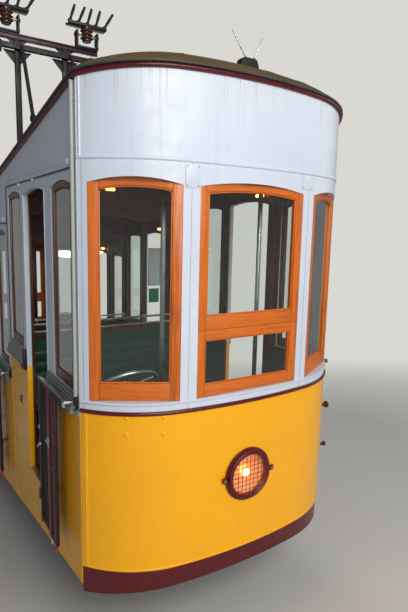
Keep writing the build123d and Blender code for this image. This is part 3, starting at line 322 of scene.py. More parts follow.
def facing(place, out):
    """Matrix at a place whose z points out along a direction and whose y points up."""
    return aim(place, Vector(place) + Vector(out))


def rod(start, end, radius, steps=14, tip=0.0):
    """A round bar between two points, its ends rounded off by tip."""
    length = (Vector(end) - Vector(start)).length
    tip = tip or min(radius * 0.25, length * 0.2)
    half = [(0, 0), (radius - tip, 0), (radius, tip)]
    part = turned(half + [(r, length - z) for r, z in half[::-1]], steps)
    part.transform(aim(start, end))
    return part


def swept(frames, profile, loop=False):
    """A closed profile of (p, q) points carried along frames of (origin, p axis, q axis)."""
    part = bmesh.new()
    rings = [[part.verts.new(o + u * p + w * q) for p, q in profile] for o, u, w in frames]
    join_rings(part, rings + rings[:1] if loop else rings)
    if not loop:
        part.faces.new(rings[0][::-1])
        part.faces.new(rings[-1])
    return closed(part)


def tube(points, radius, steps=10, loop=False):
    """A round tube through points, turning with them."""
    points = [Vector(p) for p in points]
    frames = []
    side = None
    last = len(points) - 1
    for k, point in enumerate(points):
        before = points[k - 1] if loop or k else point
        after = points[(k + 1) % (last + 1)] if loop or k < last else point
        ahead = (after - before).normalized()
        side = side or ahead.orthogonal()
        side = (side - ahead * side.dot(ahead)).normalized()
        frames.append((point, side, ahead.cross(side)))
    angles = [2 * pi * k / steps for k in range(steps)]
    return swept(frames, [(radius * cos(a), radius * sin(a)) for a in angles], loop)


def dome_head(radius, height, steps=16):
    """A low domed bolt or rivet head, flat side down."""
    arc = [pi / 2 * k / 4 for k in (1, 2, 3)]
    profile = [(radius, -SINK), (radius, height * 0.25)]
    profile += [(radius * cos(a), height * (0.25 + 0.75 * sin(a))) for a in arc]
    return turned(profile + [(0, height)], steps)


def hex_head(size, height):
    """A hexagon bolt head with a chamfered top."""
    radius = size / sqrt(3)
    return turned([(radius, -SINK), (radius, height * 0.8), (radius * 0.85, height), (0, height)], 6)


def ball(radius):
    """A ball round the origin."""
    arc = [pi * k / 8 for k in range(1, 8)]
    return turned([(0, -radius), *[(radius * sin(a), -radius * cos(a)) for a in arc], (0, radius)], 14)


def bow_frames(z, inset=0.0, step=0.02, reach=HALF_WIDTH):
    """Frames along the bow at a height: p points out of the car and q up."""
    frames = []
    for x in [-reach, *[x for x in bow_stations(step) if abs(x) < reach], reach]:
        point, out = bow(x)
        frames.append((Vector((*(point - out * inset), z)), Vector((*out, 0)), UP))
    return frames


def bow_place(x, z):
    """Matrix on the bowed face at a distance across and a height, with z out of the car."""
    point, out = bow(x)
    return facing((*point, z), (*out, 0))


def upright(x, span, profile):
    """A closed profile run up the bowed face, its q along the bow."""
    point, out = bow(x)
    p, q = Vector((*out, 0)), Vector((-out.y, out.x, 0))
    return swept([(Vector((*point, z)), p, q) for z in span], profile)


def half_round(width, proud):
    """Profile of a half-round moulding of a height, standing proud of its face."""
    arc = [pi * (k / 8 - 0.5) for k in range(9)]
    return [(-SINK, -width / 2), *[(proud * cos(a), width / 2 * sin(a)) for a in arc], (-SINK, width / 2)]


def arc_row(low, high, half, head, rise, count=14):
    """Points along an arched head of a half width, from one place to another."""
    xs = [low + (high - low) * k / count for k in range(count + 1)]
    if not rise:
        return [(x, head) for x in xs]
    radius = (half**2 + rise**2) / (2 * rise)
    return [(x, head + rise - radius + sqrt(radius**2 - min(abs(x), half) ** 2)) for x in xs]


def arched_strip(reach, half, top, bottom, layer, rise=HEAD_RISE):
    """A strip between two arcs of the same rise."""
    above = arc_row(-reach, reach, half, top, rise)
    return prism(above + arc_row(reach, -reach, half, bottom, rise), layer)


def arched_comb(span, foot, openings, top):
    """Outline of a board of a span, cut from below by arched openings of (low, high, head, rise)."""
    outline = [(span[0], foot)]
    for low, high, head, rise in openings:
        middle, half = (low + high) / 2, (high - low) / 2
        arch = [(middle + x, y) for x, y in arc_row(-half, half, half, head, rise, 10)]
        outline += [(low, foot), *arch, (high, foot)]
    return outline + [(span[1], foot)] + top


def window_frame(end, span):
    """Frame of a flat end window, centred on it: x across, y up, z out of the car; and its half width."""
    a, b = [Vector((*bow(x)[0], 0)) for x in span]
    along = (b - a).normalized()
    out = Vector((-along.y, along.x, 0))
    turn = Matrix((UP.cross(out), UP, out)).transposed().to_4x4()
    return END_FRAME[end] @ move(*(a + b) / 2) @ turn, (b - a).length / 2


def wall(side, index, x, along=0.0):
    """Frame on a side wall at a place along a compartment: x down the hill, y up, z out of the car."""
    turn = Matrix(((0, 1, 0), (0, 0, 1), (side, 0, 0))).transposed().to_4x4()
    return level(index) @ move(side * x, along, 0) @ turn


def across(index, along):
    """Frame across a compartment: x across the car, y up, z up the hill."""
    return level(index) @ move(0, along, 0) @ rotate(pi / 2, "X")


def linear(colour):
    """Linear colour of an sRGB hex value; a colour property is linear already."""
    if not isinstance(colour, str):
        return (*colour[:3], 1)
    parts = [int(colour[k : k + 2], 16) / 255 for k in (1, 3, 5)]
    return (*[c / 12.92 if c <= 0.04045 else ((c + 0.055) / 1.055) ** 2.4 for c in parts], 1)


def shade(colour, factor, lift=0.0):
    """A darker or paler tone of a linear colour."""
    return (*[min(1, c * factor + lift) for c in colour[:3]], 1)


def node(tree, kind, inputs=(), out=0, stops=(), **settings):
    """Adds a shader node with its settings, gives each input a value or a link, and returns an output."""
    made = tree.nodes.new("ShaderNode" + kind)
    for name, value in settings.items():
        setattr(made, name, value)
    for key, value in dict(inputs).items():
        if isinstance(value, bpy.types.NodeSocket):
            tree.links.new(value, made.inputs[key])
        else:
            made.inputs[key].default_value = value
    if stops:
        made.color_ramp.elements.new(0.5)
        for element, (position, colour) in zip(made.color_ramp.elements, stops):
            element.position, element.color = position, colour
    return made.outputs[out] if len(made.outputs) else made


def coordinates(tree, scale=(1, 1, 1), grain=False):
    """Level coordinates in metres, or those of each wooden part along its grain, times a scale."""
    if grain:
        source = node(tree, "Attribute", out="Vector", attribute_name="grain")
    else:
        source = node(tree, "TexCoord", out="Object")
    straight = node(tree, "Mapping", {"Vector": source, "Rotation": (0 if grain else -TILT, 0, 0)})
    return node(tree, "Mapping", {"Vector": straight, "Scale": scale})


def pattern(tree, place, scale, detail, span=(), rough=0.55):
    """Noise with so many features in each unit of its place, its (low, high) moved to (least, most)."""
    value = node(tree, "TexNoise", {"Vector": place, "Scale": scale, "Detail": detail, "Roughness": rough})
    return node(tree, "MapRange", {0: value, **dict(enumerate(span, 1))}) if span else value


def layered(tree, tone, *layers):
    """A tone under layers of (mask, colour)."""
    for mask, colour in layers:
        tone = node(tree, "Mix", {0: mask, 6: tone, 7: colour}, 2, data_type="RGBA")
    return tone


def relief(tree, *waves):
    """A normal bent by (height, distance, strength) rows, one over another."""
    normal = {}
    for height, distance, strength in waves:
        inputs = {"Height": height, "Distance": distance, "Strength": strength, **normal}
        normal = {"Normal": node(tree, "Bump", inputs)}
    return normal


def see_through(tree, factor, shader, colour=(1, 1, 1, 1)):
    """A shader that gives way to plain transparency by a factor."""
    return node(tree, "MixShader", {0: factor, 1: shader, 2: node(tree, "BsdfTransparent", {0: colour})})


def enamel(tree, hue, rust=0.0, chips=0.0, rough=0.2, ripple=0.0012, stain=0.12):
    """Brushed and varnished coach enamel on steel: glossy, a little wavy, dulled and stained by water."""
    place, colour = coordinates(tree), linear(hue)
    layers = [(pattern(tree, place, 1.7, 4, (0.35, 0.7)), shade(colour, 0.93))]
    # Water marks: narrow, upright and soft, 8 to 20 mm wide
    marks = pattern(tree, coordinates(tree, (70, 70, 1.3)), 1.0, 3, (0.55, 0.85, 0, stain))
    layers.append((marks, linear("#7B7562")))
    if rust:
        # Rust runs hang from the roof trim, 6 to 15 mm wide and up to 0.35 m long
        down = node(tree, "SeparateXYZ", {0: node(tree, "TexCoord", out="Object")}, 2)
        fade = node(tree, "MapRange", {0: down, 1: TRIM_Z - 0.33, 2: TRIM_Z - 0.01})
        fine = pattern(tree, coordinates(tree, (95, 95, 0.9)), 1.0, 2, (0.6, 0.72))
        thin = node(tree, "Math", {0: fade, 1: 1.6}, operation="POWER")
        runs = node(tree, "Math", {0: fine, 1: thin}, operation="MULTIPLY")
        runs = node(tree, "Math", {0: runs, 1: rust}, operation="MULTIPLY")
        layers.append((runs, linear("#BE9C3C")))
    if chips:
        # Stone chips down to primer, 3 to 8 mm across
        cells = node(tree, "TexVoronoi", {"Vector": place, "Scale": 26.0})
        near = node(tree, "MapRange", {0: cells, 1: 0.11, 2: 0.08})
        spots = pattern(tree, place, 6.0, 2, (0.6, 0.63))
        few = node(tree, "Math", {0: spots, 1: chips}, operation="MULTIPLY")
        layers.append((node(tree, "Math", {0: near, 1: few}, operation="MULTIPLY"), linear("#B9AFA6")))
    dull = pattern(tree, place, 14.0, 4, (0.3, 0.75, rough * 0.75, rough * 1.6))
    waves = (pattern(tree, place, 3.2, 2), ripple * 6, 0.35)
    peel = (pattern(tree, place, 260.0, 2), 0.0003, 0.25)
    return node(tree, "BsdfPrincipled", {
        "Base Color": layered(tree, colour, *layers), "Roughness": dull, **relief(tree, waves, peel),
        "Coat Weight": 0.04, "Coat Roughness": 0.15,
    })


def timber(tree, light, dark, varnish=0.5, rough=0.3, ring=46.0, knots=0.0):
    """Planed joinery timber under varnish: long grain, darker rings and small pores, clear gloss on top."""
    # Growth rings show about every 20 mm across the grain, and wander along it
    rings = pattern(tree, coordinates(tree, (ring, ring, 2.2), True), 1.0, 5, (), 0.62)
    patches, fibres = coordinates(tree, (9, 9, 3.0), True), coordinates(tree, (700, 700, 18), True)
    dark, deep = linear(dark), shade(linear(dark), 0.55)
    tone = node(tree, "ValToRGB", {0: rings}, stops=[(0.32, dark), (0.5, linear(light)), (0.72, dark)])
    layers = [(pattern(tree, patches, 1.0, 2, (0.6, 0.8, 0, 0.55)), deep),
              (pattern(tree, fibres, 1.0, 2, (0.6, 0.75, 0, 0.4)), deep)]
    if knots:
        # Knots 8 to 20 mm across, a few along each rail
        cells = node(tree, "TexVoronoi", {"Vector": coordinates(tree, (6, 6, 2.4), True)})
        heart = node(tree, "MapRange", {0: cells, 1: 0.11, 2: 0.03})
        heart = node(tree, "Math", {0: heart, 1: knots}, operation="MULTIPLY")
        layers.append((heart, linear("#7C2A06")))
    dull = pattern(tree, patches, 1.0, 2, (0.3, 0.7, rough * 0.8, rough * 1.4))
    fibre = relief(tree, (pattern(tree, fibres, 1.0, 2), 0.0004, 0.3))
    return node(tree, "BsdfPrincipled", {
        "Base Color": layered(tree, tone, *layers), "Roughness": dull, **fibre,
        "Coat Weight": varnish, "Coat Roughness": 0.12,
    })


def painted_iron(tree, hue, rough=0.45, rust=0.25):
    """Thick brush paint on forged or cast iron: uneven, semi-gloss, rusting where it is worn."""
    place, colour = coordinates(tree), linear(hue)
    pale = (pattern(tree, place, 9.0, 5, (0.45, 0.8, 0, 0.6)), shade(colour, 1.7, 0.01))
    worn = (pattern(tree, place, 23.0, 6, (0.56, 0.7, 0, rust), 0.7), linear("#5A3420"))
    dull = pattern(tree, place, 9.0, 5, (0.3, 0.7, rough * 0.8, min(1, rough * 1.4)))
    grit = relief(tree, (pattern(tree, place, 420.0, 3), 0.0004, 0.5))
    tone = layered(tree, colour, pale, worn)
    return node(tree, "BsdfPrincipled", {"Base Color": tone, "Roughness": dull, **grit})


def bright_metal(tree, hue, rough=0.25, wear=0.35, scratch=0.2):
    """Bare or plated metal rubbed by hands: bright, with fine scratches and duller patches."""
    place, colour = coordinates(tree), linear(hue)
    worn = (pattern(tree, place, 12.0, 4, (0.5, 0.8, 0, wear)), shade(colour, 0.45))
    dull = pattern(tree, place, 12.0, 4, (0.35, 0.75, rough * 0.85, min(1, rough * 1.4)))
    lines = relief(tree, (pattern(tree, coordinates(tree, (900, 900, 60)), 1.0, 2), 0.0001, scratch))
    tone = layered(tree, colour, worn)
    return node(tree, "BsdfPrincipled", {"Base Color": tone, "Roughness": dull, "Metallic": 1.0, **lines})


def clear_glass(tree, hue, dust=0.5):
    """Glass with a film of dust: mirror-like at a slant, see-through from the front, and lets lamps by."""
    dull = pattern(tree, coordinates(tree), 5.0, 5, (0.45, 0.8, 0.0, 0.05 * dust), 0.65)
    tint = linear(hue)
    inputs = {"Base Color": tint, "Roughness": dull, "IOR": 1.45, "Transmission Weight": 1.0}
    shader = node(tree, "BsdfPrincipled", inputs)
    return see_through(tree, node(tree, "LightPath", out="Is Shadow Ray"), shader, tint)


def roof_canvas(tree, hue):
    """Painted canvas on roof boards: matt olive-brown, patchy with soot and pale dust."""
    place = coordinates(tree)
    stain = (pattern(tree, place, 2.6, 6, (0.4, 0.7), 0.62), linear("#4A3E24"))
    soot = (pattern(tree, place, 8.0, 5, (0.55, 0.75, 0, 0.55), 0.7), linear("#2E2A20"))
    dust = (pattern(tree, place, 34.0, 3, (0.6, 0.75, 0, 0.2)), linear("#8C8061"))
    dull = pattern(tree, place, 2.6, 6, (0.3, 0.7, 0.45, 0.8), 0.62)
    weave = (pattern(tree, place, 330.0, 2), 0.0006, 0.5)
    folds = (pattern(tree, place, 2.6, 6, (), 0.62), 0.01, 0.3)
    tone = layered(tree, linear(hue), stain, soot, dust)
    return node(tree, "BsdfPrincipled", {"Base Color": tone, "Roughness": dull, **relief(tree, weave, folds)})


def glowing(tree, hue, strength):
    """A lit bulb's frosted glass, warm white."""
    colour = linear(hue)
    warm = (pattern(tree, coordinates(tree), 40.0, 2, (0.3, 0.7)), shade(colour, 0.9))
    return node(tree, "BsdfPrincipled", {
        "Base Color": layered(tree, colour, warm), "Roughness": 0.4,
        "Emission Color": colour, "Emission Strength": strength,
    })


def paper(tree, hue):
    """Pale studio paper with a faint grain, that fades into the plain backdrop with distance from the car."""
    grain = pattern(tree, coordinates(tree), 30.0, 2, (0.3, 0.7, 0, 0.3))
    away = node(tree, "VectorMath", {0: node(tree, "TexCoord", out="Object")}, 1, operation="LENGTH")
    fade = node(tree, "MapRange", {0: away, 1: 4.5, 2: 11.0})
    tone = layered(tree, linear(hue), (grain, linear("#CFCDC7")))
    return see_through(tree, fade, node(tree, "BsdfPrincipled", {"Base Color": tone, "Roughness": 0.85}))


# Each look: its making, its colours (hex, or a colour property) and its settings, and what it gives the eye
LOOKS = {
    # Warm, deep and glossy, with soft brush waves in its reflections
    "yellow_coach_enamel": (enamel, "yellow", {"rough": 0.26, "stain": 0.05}),
    # Cool and paler, streaked with rust from the roof's edge and dulled by rain
    "white_coach_enamel": (enamel, "white", {"rust": 0.85, "rough": 0.34, "stain": 0.16}),
    # Dark and even, with pale stone chips
    "maroon_coach_enamel": (enamel, "maroon", {"chips": 0.4, "rough": 0.28}),
    # The same paint laid on by hand: visibly wavy round the lamp rings
    "maroon_brushed_enamel": (enamel, "maroon", {"chips": 0.5, "rough": 0.3, "ripple": 0.004}),
    # Greyed white, dirtier than the panels beside it
    "white_pipe_paint": (enamel, "#B4B8AE", {"rough": 0.4, "stain": 0.5}),
    # Smooth dark green that shows the joints of its boards
    "green_painted_boards": (enamel, "green", {"rough": 0.35, "ripple": 0.0004}),
    # Brown glaze with sharp small highlights on its ribs
    "brown_glazed_porcelain": (enamel, "#4A2A17", {"rough": 0.15, "ripple": 0.0002}),
    # Blank pale card, the brightest thing behind the glass
    "white_notice_card": (enamel, "#EDEFF2", {"rough": 0.4, "ripple": 0.0002}),
    # Blank green card
    "green_notice_card": (enamel, "#0E8265", {"rough": 0.4, "ripple": 0.0002}),
    # Orange resinous grain with dark knots, under a thin worn varnish
    "varnished_pitch_pine": (timber, "sash_light sash_dark", {"varnish": 0.1, "rough": 0.42, "knots": 0.8}),
    # Red-brown with a clear gloss
    "varnished_mahogany": (timber, "#57291A #34160C", {}),
    # Broad red grain, darker and duller for the panels inside
    "mahogany_lining": (timber, "#5C2015 #2E100B", {"varnish": 0.25, "rough": 0.38, "ring": 30.0}),
    # Nearly black brown boards that keep the ceiling in shadow
    "dark_ceiling_boards": (timber, "#4A2416 #2B130B", {"varnish": 0.25, "rough": 0.42}),
    # Mid brown, oiled rather than glossy
    "oiled_teak": (timber, "#6B3716 #3B1C0C", {"varnish": 0.25, "rough": 0.35}),
    # Brown slats polished by use
    "varnished_beech_slats": (timber, "#5A3218 #3A1F10", {"varnish": 0.3, "rough": 0.4}),
    # Walked-on softwood: grey, bleached along the grain and without shine
    "worn_floor_boards": (timber, "#77695A #463C31", {"varnish": 0.0, "rough": 0.75, "ring": 60.0}),
    # Matt canvas, blotched with soot
    "painted_roof_canvas": (roof_canvas, "roof", {}),
    # Nearly colourless panes that mirror the sky at a slant
    "dusty_float_glass": (clear_glass, "#E6EDEA", {}),
    # Warm flutes that blur the bulb behind them
    "pressed_lamp_glass": (clear_glass, "#FFF3E2", {"dust": 1.5}),
    # Flat dark grey line along the gutters, lips and joints; along the side walls it is a painted shadow line
    # under the fascia
    "grey_gutter_paint": (painted_iron, "#3A3D3A", {"rough": 0.5, "rust": 0.2}),
    # Soft green-grey, a little rubbed on its ribs
    "grey_green_sill_paint": (painted_iron, "#6E766C", {"rough": 0.35, "rust": 0.15}),
    # Plain black ironwork with brown at its worn spots
    "black_painted_iron": (painted_iron, "#111112", {"rough": 0.5}),
    # Dusty black-brown of parts under the floor
    "frame_black": (painted_iron, "#1D1C1B", {"rough": 0.6, "rust": 0.5}),
    # Dull brown of irons in the weather on the roof
    "brown_gantry_iron": (painted_iron, "#241214", {"rough": 0.6, "rust": 0.4}),
    # Blue-black gate bars with a half gloss
    "gate_enamel": (painted_iron, "#121418", {"rust": 0.15}),
    # Very dark red stiles
    "maroon_gate_iron": (painted_iron, "#2E0710", {"rough": 0.4, "rust": 0.2}),
    # A lighter copy of the dark red stile paint: a painted highlight on half the leading stile
    "red_gate_iron": (painted_iron, "#6E0F16", {"rough": 0.35, "rust": 0.2}),
    # Warm black slats
    "slat_paint": (painted_iron, "#14100E", {"rough": 0.5, "rust": 0.3}),
    # Small signal-red accents
    "red_pin": (painted_iron, "#B5331C", {"rough": 0.3, "rust": 0.1}),
    # Dull even black, without any rust
    "moulded_black_rubber": (painted_iron, "#0E0F10", {"rough": 0.6, "rust": 0.0}),
    # Brown-black leaves with rusty edges
    "spring_steel": (painted_iron, "#2B2826", {"rough": 0.5, "rust": 0.6}),
    # Green-grey machine paint
    "motor_paint": (painted_iron, "#3D4543", {"rust": 0.3}),
    # Grey shine of steel that hands keep clean
    "rubbed_steel": (bright_metal, "#AEB2B4", {"rough": 0.32, "wear": 0.1, "scratch": 0.03}),
    # Sharp white highlights on the small fittings
    "polished_chrome": (bright_metal, "#D9DCDF", {"rough": 0.1, "wear": 0.12}),
    # Brownish running steel with turned lines
    "turned_tyre_steel": (bright_metal, "#8C8580", {"rough": 0.4, "wear": 0.6}),
    # Silver tinted pinkish-warm: a painted glow of the lit bulb spread over the bowl
    "silvered_reflector": (bright_metal, "#F6C49C", {"rough": 0.75, "wear": 0.1}),
    # Yellow-brown, tarnished in patches
    "aged_brass": (bright_metal, "#B58A4A", {"rough": 0.3, "wear": 0.4}),
    # The headlight's bright core
    "lit_bulb": (glowing, "#FFB878", {"strength": 16.0}),
    # The cabin lamps' warm glow
    "cabin_lamp_glass": (glowing, "#FFB061", {"strength": 5.0}),
    # A pale ground that shows the car's shadow and no edge
    "studio_paper": (paper, "#D6D4CE", {}),
}


def look(name):
    """A material by name, made when it is first asked for."""
    if name not in bpy.data.materials:
        making, hues, settings = LOOKS[name]
        colours = bpy.context.scene.car_colours
        material = bpy.data.materials.new(name)
        material.use_nodes = True
        tree = material.node_tree
        tree.nodes.clear()
        hues = [hue if hue.startswith("#") else getattr(colours, hue) for hue in hues.split()]
        node(tree, "OutputMaterial", {"Surface": making(tree, *hues, **settings)})
    return bpy.data.materials[name]


def colour_property(name, hex_colour, meaning):
    """A colour of the panel, from its sRGB hex value."""
    return bpy.props.FloatVectorProperty(name=name, description=meaning, default=linear(hex_colour)[:3],
                                         size=3, min=0.0, max=1.0, subtype="COLOR")


def length_property(name, millimetres, meaning):
    """A length of the panel, from its millimetres."""
    return bpy.props.FloatProperty(name=name, description=meaning, default=millimetres / 1000,
                                   min=0.0005, unit="LENGTH", subtype="DISTANCE")


class CarColours(bpy.types.PropertyGroup):
    """Paint and varnish colours"""

    yellow: colour_property("Yellow", "#FFB300", "Coach enamel below the waist")
    white: colour_property("White", "#D4DBE6", "Coach enamel above the waist")
    maroon: colour_property("Maroon", "#580210", "Mouldings, skirt, roof trim and lamp rings")
    roof: colour_property("Roof", "#66501F", "Painted roof canvas")
    green: colour_property("Green", "#173F30", "Painted boards inside")
    sash_light: colour_property("Sash, light", "#D96E14", "Pale grain of the end sashes")
    sash_dark: colour_property("Sash, dark", "#AA4E0C", "Dark grain of the end sashes")


class CarSizes(bpy.types.PropertyGroup):
    """Sizes of the coachwork's details"""

    waist_moulding: length_property("Waist moulding", 25, "Height of the half-round at the waist of an end")
    waist_proud: length_property("Waist moulding's depth", 11, "How far the waist moulding stands out")
    fascia_bead: length_property("Fascia bead", 22, "Height of the bead along the foot of an end's fascia")
    rolled_edge: length_property("Rolled edge", 8, "Radius of the rolled lower edge of a yellow end panel")
    side_roll: length_property("Side roll", 26, "Width of the rolled upright edges of a yellow end panel")
    end_stile: length_property("End stile", 56, "Width of an end sash's upright")
    end_rail: length_property("End bottom rail", 100, "Height of an end sash's bottom rail")
    end_top_rail: length_property("End top rail", 42, "Height of an end sash's arched top rail")
    sash_depth: length_property("End sash depth", 45, "Thickness of an end sash")
    bolt_head: length_property("Bolt head", 22, "Diameter of a painted dome-head bolt")


# The finish of the frame's solids, by the start of their names
FINISHES = {
    "side_lower": "yellow_coach_enamel", "end_lower": "yellow_coach_enamel",
    "side_upper": "white_coach_enamel", "end_upper": "white_coach_enamel",
    "end_fascia": "white_coach_enamel", "drain_pipes": "white_coach_enamel",
    "end_skirts": "maroon_coach_enamel", "waist_mouldings": "maroon_coach_enamel",
    "roof_trim": "maroon_coach_enamel", "headlights": "maroon_coach_enamel",
    "headlight_lenses": "pressed_lamp_glass", "roof": "painted_roof_canvas",
    "end_sashes": "varnished_pitch_pine", "side_sashes": "varnished_mahogany",
    "bulkheads": "varnished_mahogany", "bench_seats": "varnished_beech_slats",
    "bench_frames": "green_painted_boards", "floor_": "worn_floor_boards",
    "end_glass": "dusty_float_glass", "side_glass": "dusty_float_glass",
    "window_sills": "grey_green_sill_paint", "handrails": "rubbed_steel", "wheelset": "turned_tyre_steel",
}


class CAR_OT_frame_finishes(bpy.types.Operator):
    """Gives every solid that the frame brings the finish of what it is"""

    bl_idname = "car.frame_finishes"
    bl_label = "Finishes of the frame"

    def execute(self, context):
        for name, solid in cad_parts.items():
            kind = max((k for k in FINISHES if name.startswith(k)), key=len, default=None)
            solid.data.materials.clear()
            solid.data.materials.append(look(FINISHES[kind] if kind else "frame_black"))
            solid.modifiers.new("crisp_edges", "EDGE_SPLIT").split_angle = radians(30)
        return {"FINISHED"}


SASH_SPLIT = 1.546
SASH_GAP, SASH_EDGE = 0.0012, 0.0022
BEAD, BEAD_EDGE = 0.009, 0.003


class CAR_OT_end_sashes(bpy.types.Operator):
    """Joins the flat wooden sashes of both ends, with arched heads and the middle one split in two"""

    bl_idname = "car.end_sashes"
    bl_label = "End sashes"

    def execute(self, context):
        sizes = context.scene.car_sizes
        top = sizes.end_top_rail
        for end in ENDS:
            piece = Piece(seed=len(end))
            for span in (*OUTER_WINDOWS, MID_WINDOW):
                # foot, head, rise, lower rail, upper rail, set-back of each leaf
                leaves = [(END_WINDOW_FOOT, WINDOW_HEAD, HEAD_RISE, sizes.end_rail, top, 0)]
                if span == MID_WINDOW:
                    leaves = [(END_WINDOW_FOOT, SASH_SPLIT, 0, 0.07, 0.057, 0.004),
                              (SASH_SPLIT, WINDOW_HEAD, HEAD_RISE, 0.082, top, 0)]
                for leaf in leaves:
                    wooden_sash(piece, *window_frame(end, span), leaf, sizes.end_stile, sizes.sash_depth)
            piece.finish("sashes_" + end, "varnished_pitch_pine", "sash_wood",
                         "end_sashes" if end == "uphill" else "")
        return {"FINISHED"}


def wooden_sash(piece, matrix, half, leaf, stile, depth):
    """Stiles, rails and glazing beads of one leaf, set back from its frame's plane."""
    foot, head, rise, bottom, top, back = leaf
    layer, pane = (-depth, -back), half - stile
    for side in (-1, 1):
        inner, outer = side * pane, side * (half - SASH_GAP)
        outline = [(inner, foot + SASH_GAP), (outer, foot + SASH_GAP)]
        outline += arc_row(outer, inner, half, head - SASH_GAP, rise, 5)
        piece.add(prism(outline[::-side], layer), matrix, SASH_EDGE, 0, "y")
    reach, sill, lintel = pane - SASH_GAP / 2, foot + bottom, head - top
    piece.block((-reach, reach), (foot + SASH_GAP, sill), layer, matrix, SASH_EDGE, 0, "x")
    piece.add(arched_strip(reach, half, head - SASH_GAP, lintel, layer, rise), matrix, SASH_EDGE, 0, "x")
    # A quarter-round bead round the pane
    bead = about(-back - 0.011, 0.005)
    for side in (-1, 1):
        piece.block(pair(side, pane, pane - BEAD), (sill, lintel + 0.002), bead, matrix, BEAD_EDGE, 0, "y")
    piece.block((-pane, pane), (sill, sill + BEAD), bead, matrix, BEAD_EDGE, 0, "x")
    piece.add(arched_strip(pane, half, lintel, lintel - BEAD, bead, rise), matrix, BEAD_EDGE, 0, "x")


class CAR_OT_side_sashes(bpy.types.Operator):
    """Joins the mahogany sashes of the side windows"""

    bl_idname = "car.side_sashes"
    bl_label = "Side sashes"

    def execute(self, context):
        sashes = Piece(seed=7)
        leaf = (SILL, WINDOW_HEAD, HEAD_RISE, 0.07, 0.044, 0)
        for side, index, _ in BAYS:
            for low, high in SIDE_WINDOWS:
                place = wall(side, index, HALF_WIDTH - 0.006, (low + high) / 2)
                wooden_sash(sashes, place, (high - low) / 2, leaf, 0.044, 0.028)
        sashes.finish("side_window_sashes", "oiled_teak", "sash_wood", "side_sashes")
        return {"FINISHED"}


class CAR_OT_mouldings(bpy.types.Operator):
    """Bends the half-round waist mouldings and the beads round the fascias"""

    bl_idname = "car.mouldings"
    bl_label = "Mouldings"

    def execute(self, context):
        sizes = context.scene.car_sizes
        waist, beads = Piece(), Piece()
        moulding = half_round(sizes.waist_moulding, sizes.waist_proud)
        bead = half_round(sizes.fascia_bead, 0.007)
        for end in ENDS:
            waist.add(swept(bow_frames(END_WAIST - 0.0005), moulding), END_FRAME[end])
            beads.add(swept(bow_frames(FASCIA_FOOT + sizes.fascia_bead / 2), bead), END_FRAME[end])
        waist.finish("waist_moulding", "maroon_coach_enamel", "maroon_enamel", "waist_mouldings")
        beads.finish("fascia_beads", "white_coach_enamel", "white_enamel")
        return {"FINISHED"}


def plan_bow(inset, squeeze=1.0):
    """Points (x, out of the car) along a bow that is set in, from left to right, each with its normal."""
    corner = asin((HALF_WIDTH - inset - SIDE_CENTRE.x) / (SIDE_RADIUS - inset))
    middle = [JOIN_ANGLE * k / 12 for k in range(1, 12)]
    sides = [JOIN_ANGLE + (corner - JOIN_ANGLE) * k / 8 for k in range(9)]
    arcs = ((Vector((0, BULGE - END_MID_RADIUS)), END_MID_RADIUS, middle), (SIDE_CENTRE, SIDE_RADIUS, sides))
    right = [(o + Vector((sin(a), cos(a))) * (radius - inset), a)
             for o, radius, angles in arcs for a in angles]
    left = [(Vector((-p.x, p.y)), -a) for p, a in reversed(right)]
    row = left + [(Vector((0, BULGE - inset)), 0.0)] + right
    return [(Vector((p.x * squeeze, p.y)), Vector((sin(a), cos(a)))) for p, a in row]


def plan_ring(inset, length, squeeze=1.0):
    """Points (x, y) and outward normals round a plan with two bows, from its uphill left corner."""
    row = plan_bow(inset, squeeze)
    x = row[-1][0].x
    shares = [k / 24 for k in range(1, 24)]
    ring = [(Vector((p.x, -p.y)), Vector((n.x, -n.y))) for p, n in row]
    ring += [(Vector((x, length * t)), Vector((1, 0))) for t in shares]
    ring += [(Vector((p.x, length + p.y)), Vector((n.x, n.y))) for p, n in reversed(row)]
    return ring + [(Vector((-x, length * (1 - t))), Vector((-1, 0))) for t in shares]


def eased(stages, steps):
    """More stages between those given, on a smooth curve through them."""
    ends = ([2 * p - q for p, q in zip(*stages[:2])], [2 * q - p for p, q in zip(*stages[-2:])])
    line = [ends[0], *stages, ends[1]]
    rows = []
    for k in range(len(stages) - 1):
        for t in [n / steps for n in range(steps)]:
            rows.append([p + t * (q - o + t * ((2 * o - 5 * p + 4 * q - r) + t * (3 * p - 3 * q + r - o))) / 2
                         for o, p, q, r in zip(*line[k : k + 4])])
    return rows + [list(stages[-1])]


# rise above the roof's foot, inset of the plan, squeeze towards the centre plane
ROOF_STAGES = ((ROOF_EDGE, -ROOF_OVERHANG, 1.0), (0.102, 0.08, 0.95), (0.17, 0.23, 0.86), (0.212, 0.48, 0.74))
CEILING_STAGES = ((0.0, 0.05, 1.0), (0.046, 0.11, 0.95), (0.12, 0.265, 0.86), (0.166, 0.5, 0.74))
ROOF_LIP = 0.0022
# Points of the plan's ring where the canvas is lapped, and where lengths of the trim start
ROOF_SEAMS = (8, 24, 31, 45, 52, 59, 72, 88, 95, 122, 115, 108)
TRIM_STARTS = (0, 17, 40, 62, 84, 106)


def roof_point(point, rise):
    """Place on the roof over a point of its plan, at a rise above its foot."""
    return Vector((point.x, ROOF_CORNER_Y + point.y, ROOF_Z + rise))


def dome_rows(part, stages):
    """Rings of vertices for the stages of a dome."""
    rings = [(rise, plan_ring(inset, TRACK_LENGTH, squeeze)) for rise, inset, squeeze in stages]
    return [[part.verts.new(roof_point(point, rise)) for point, _ in ring] for rise, ring in rings]


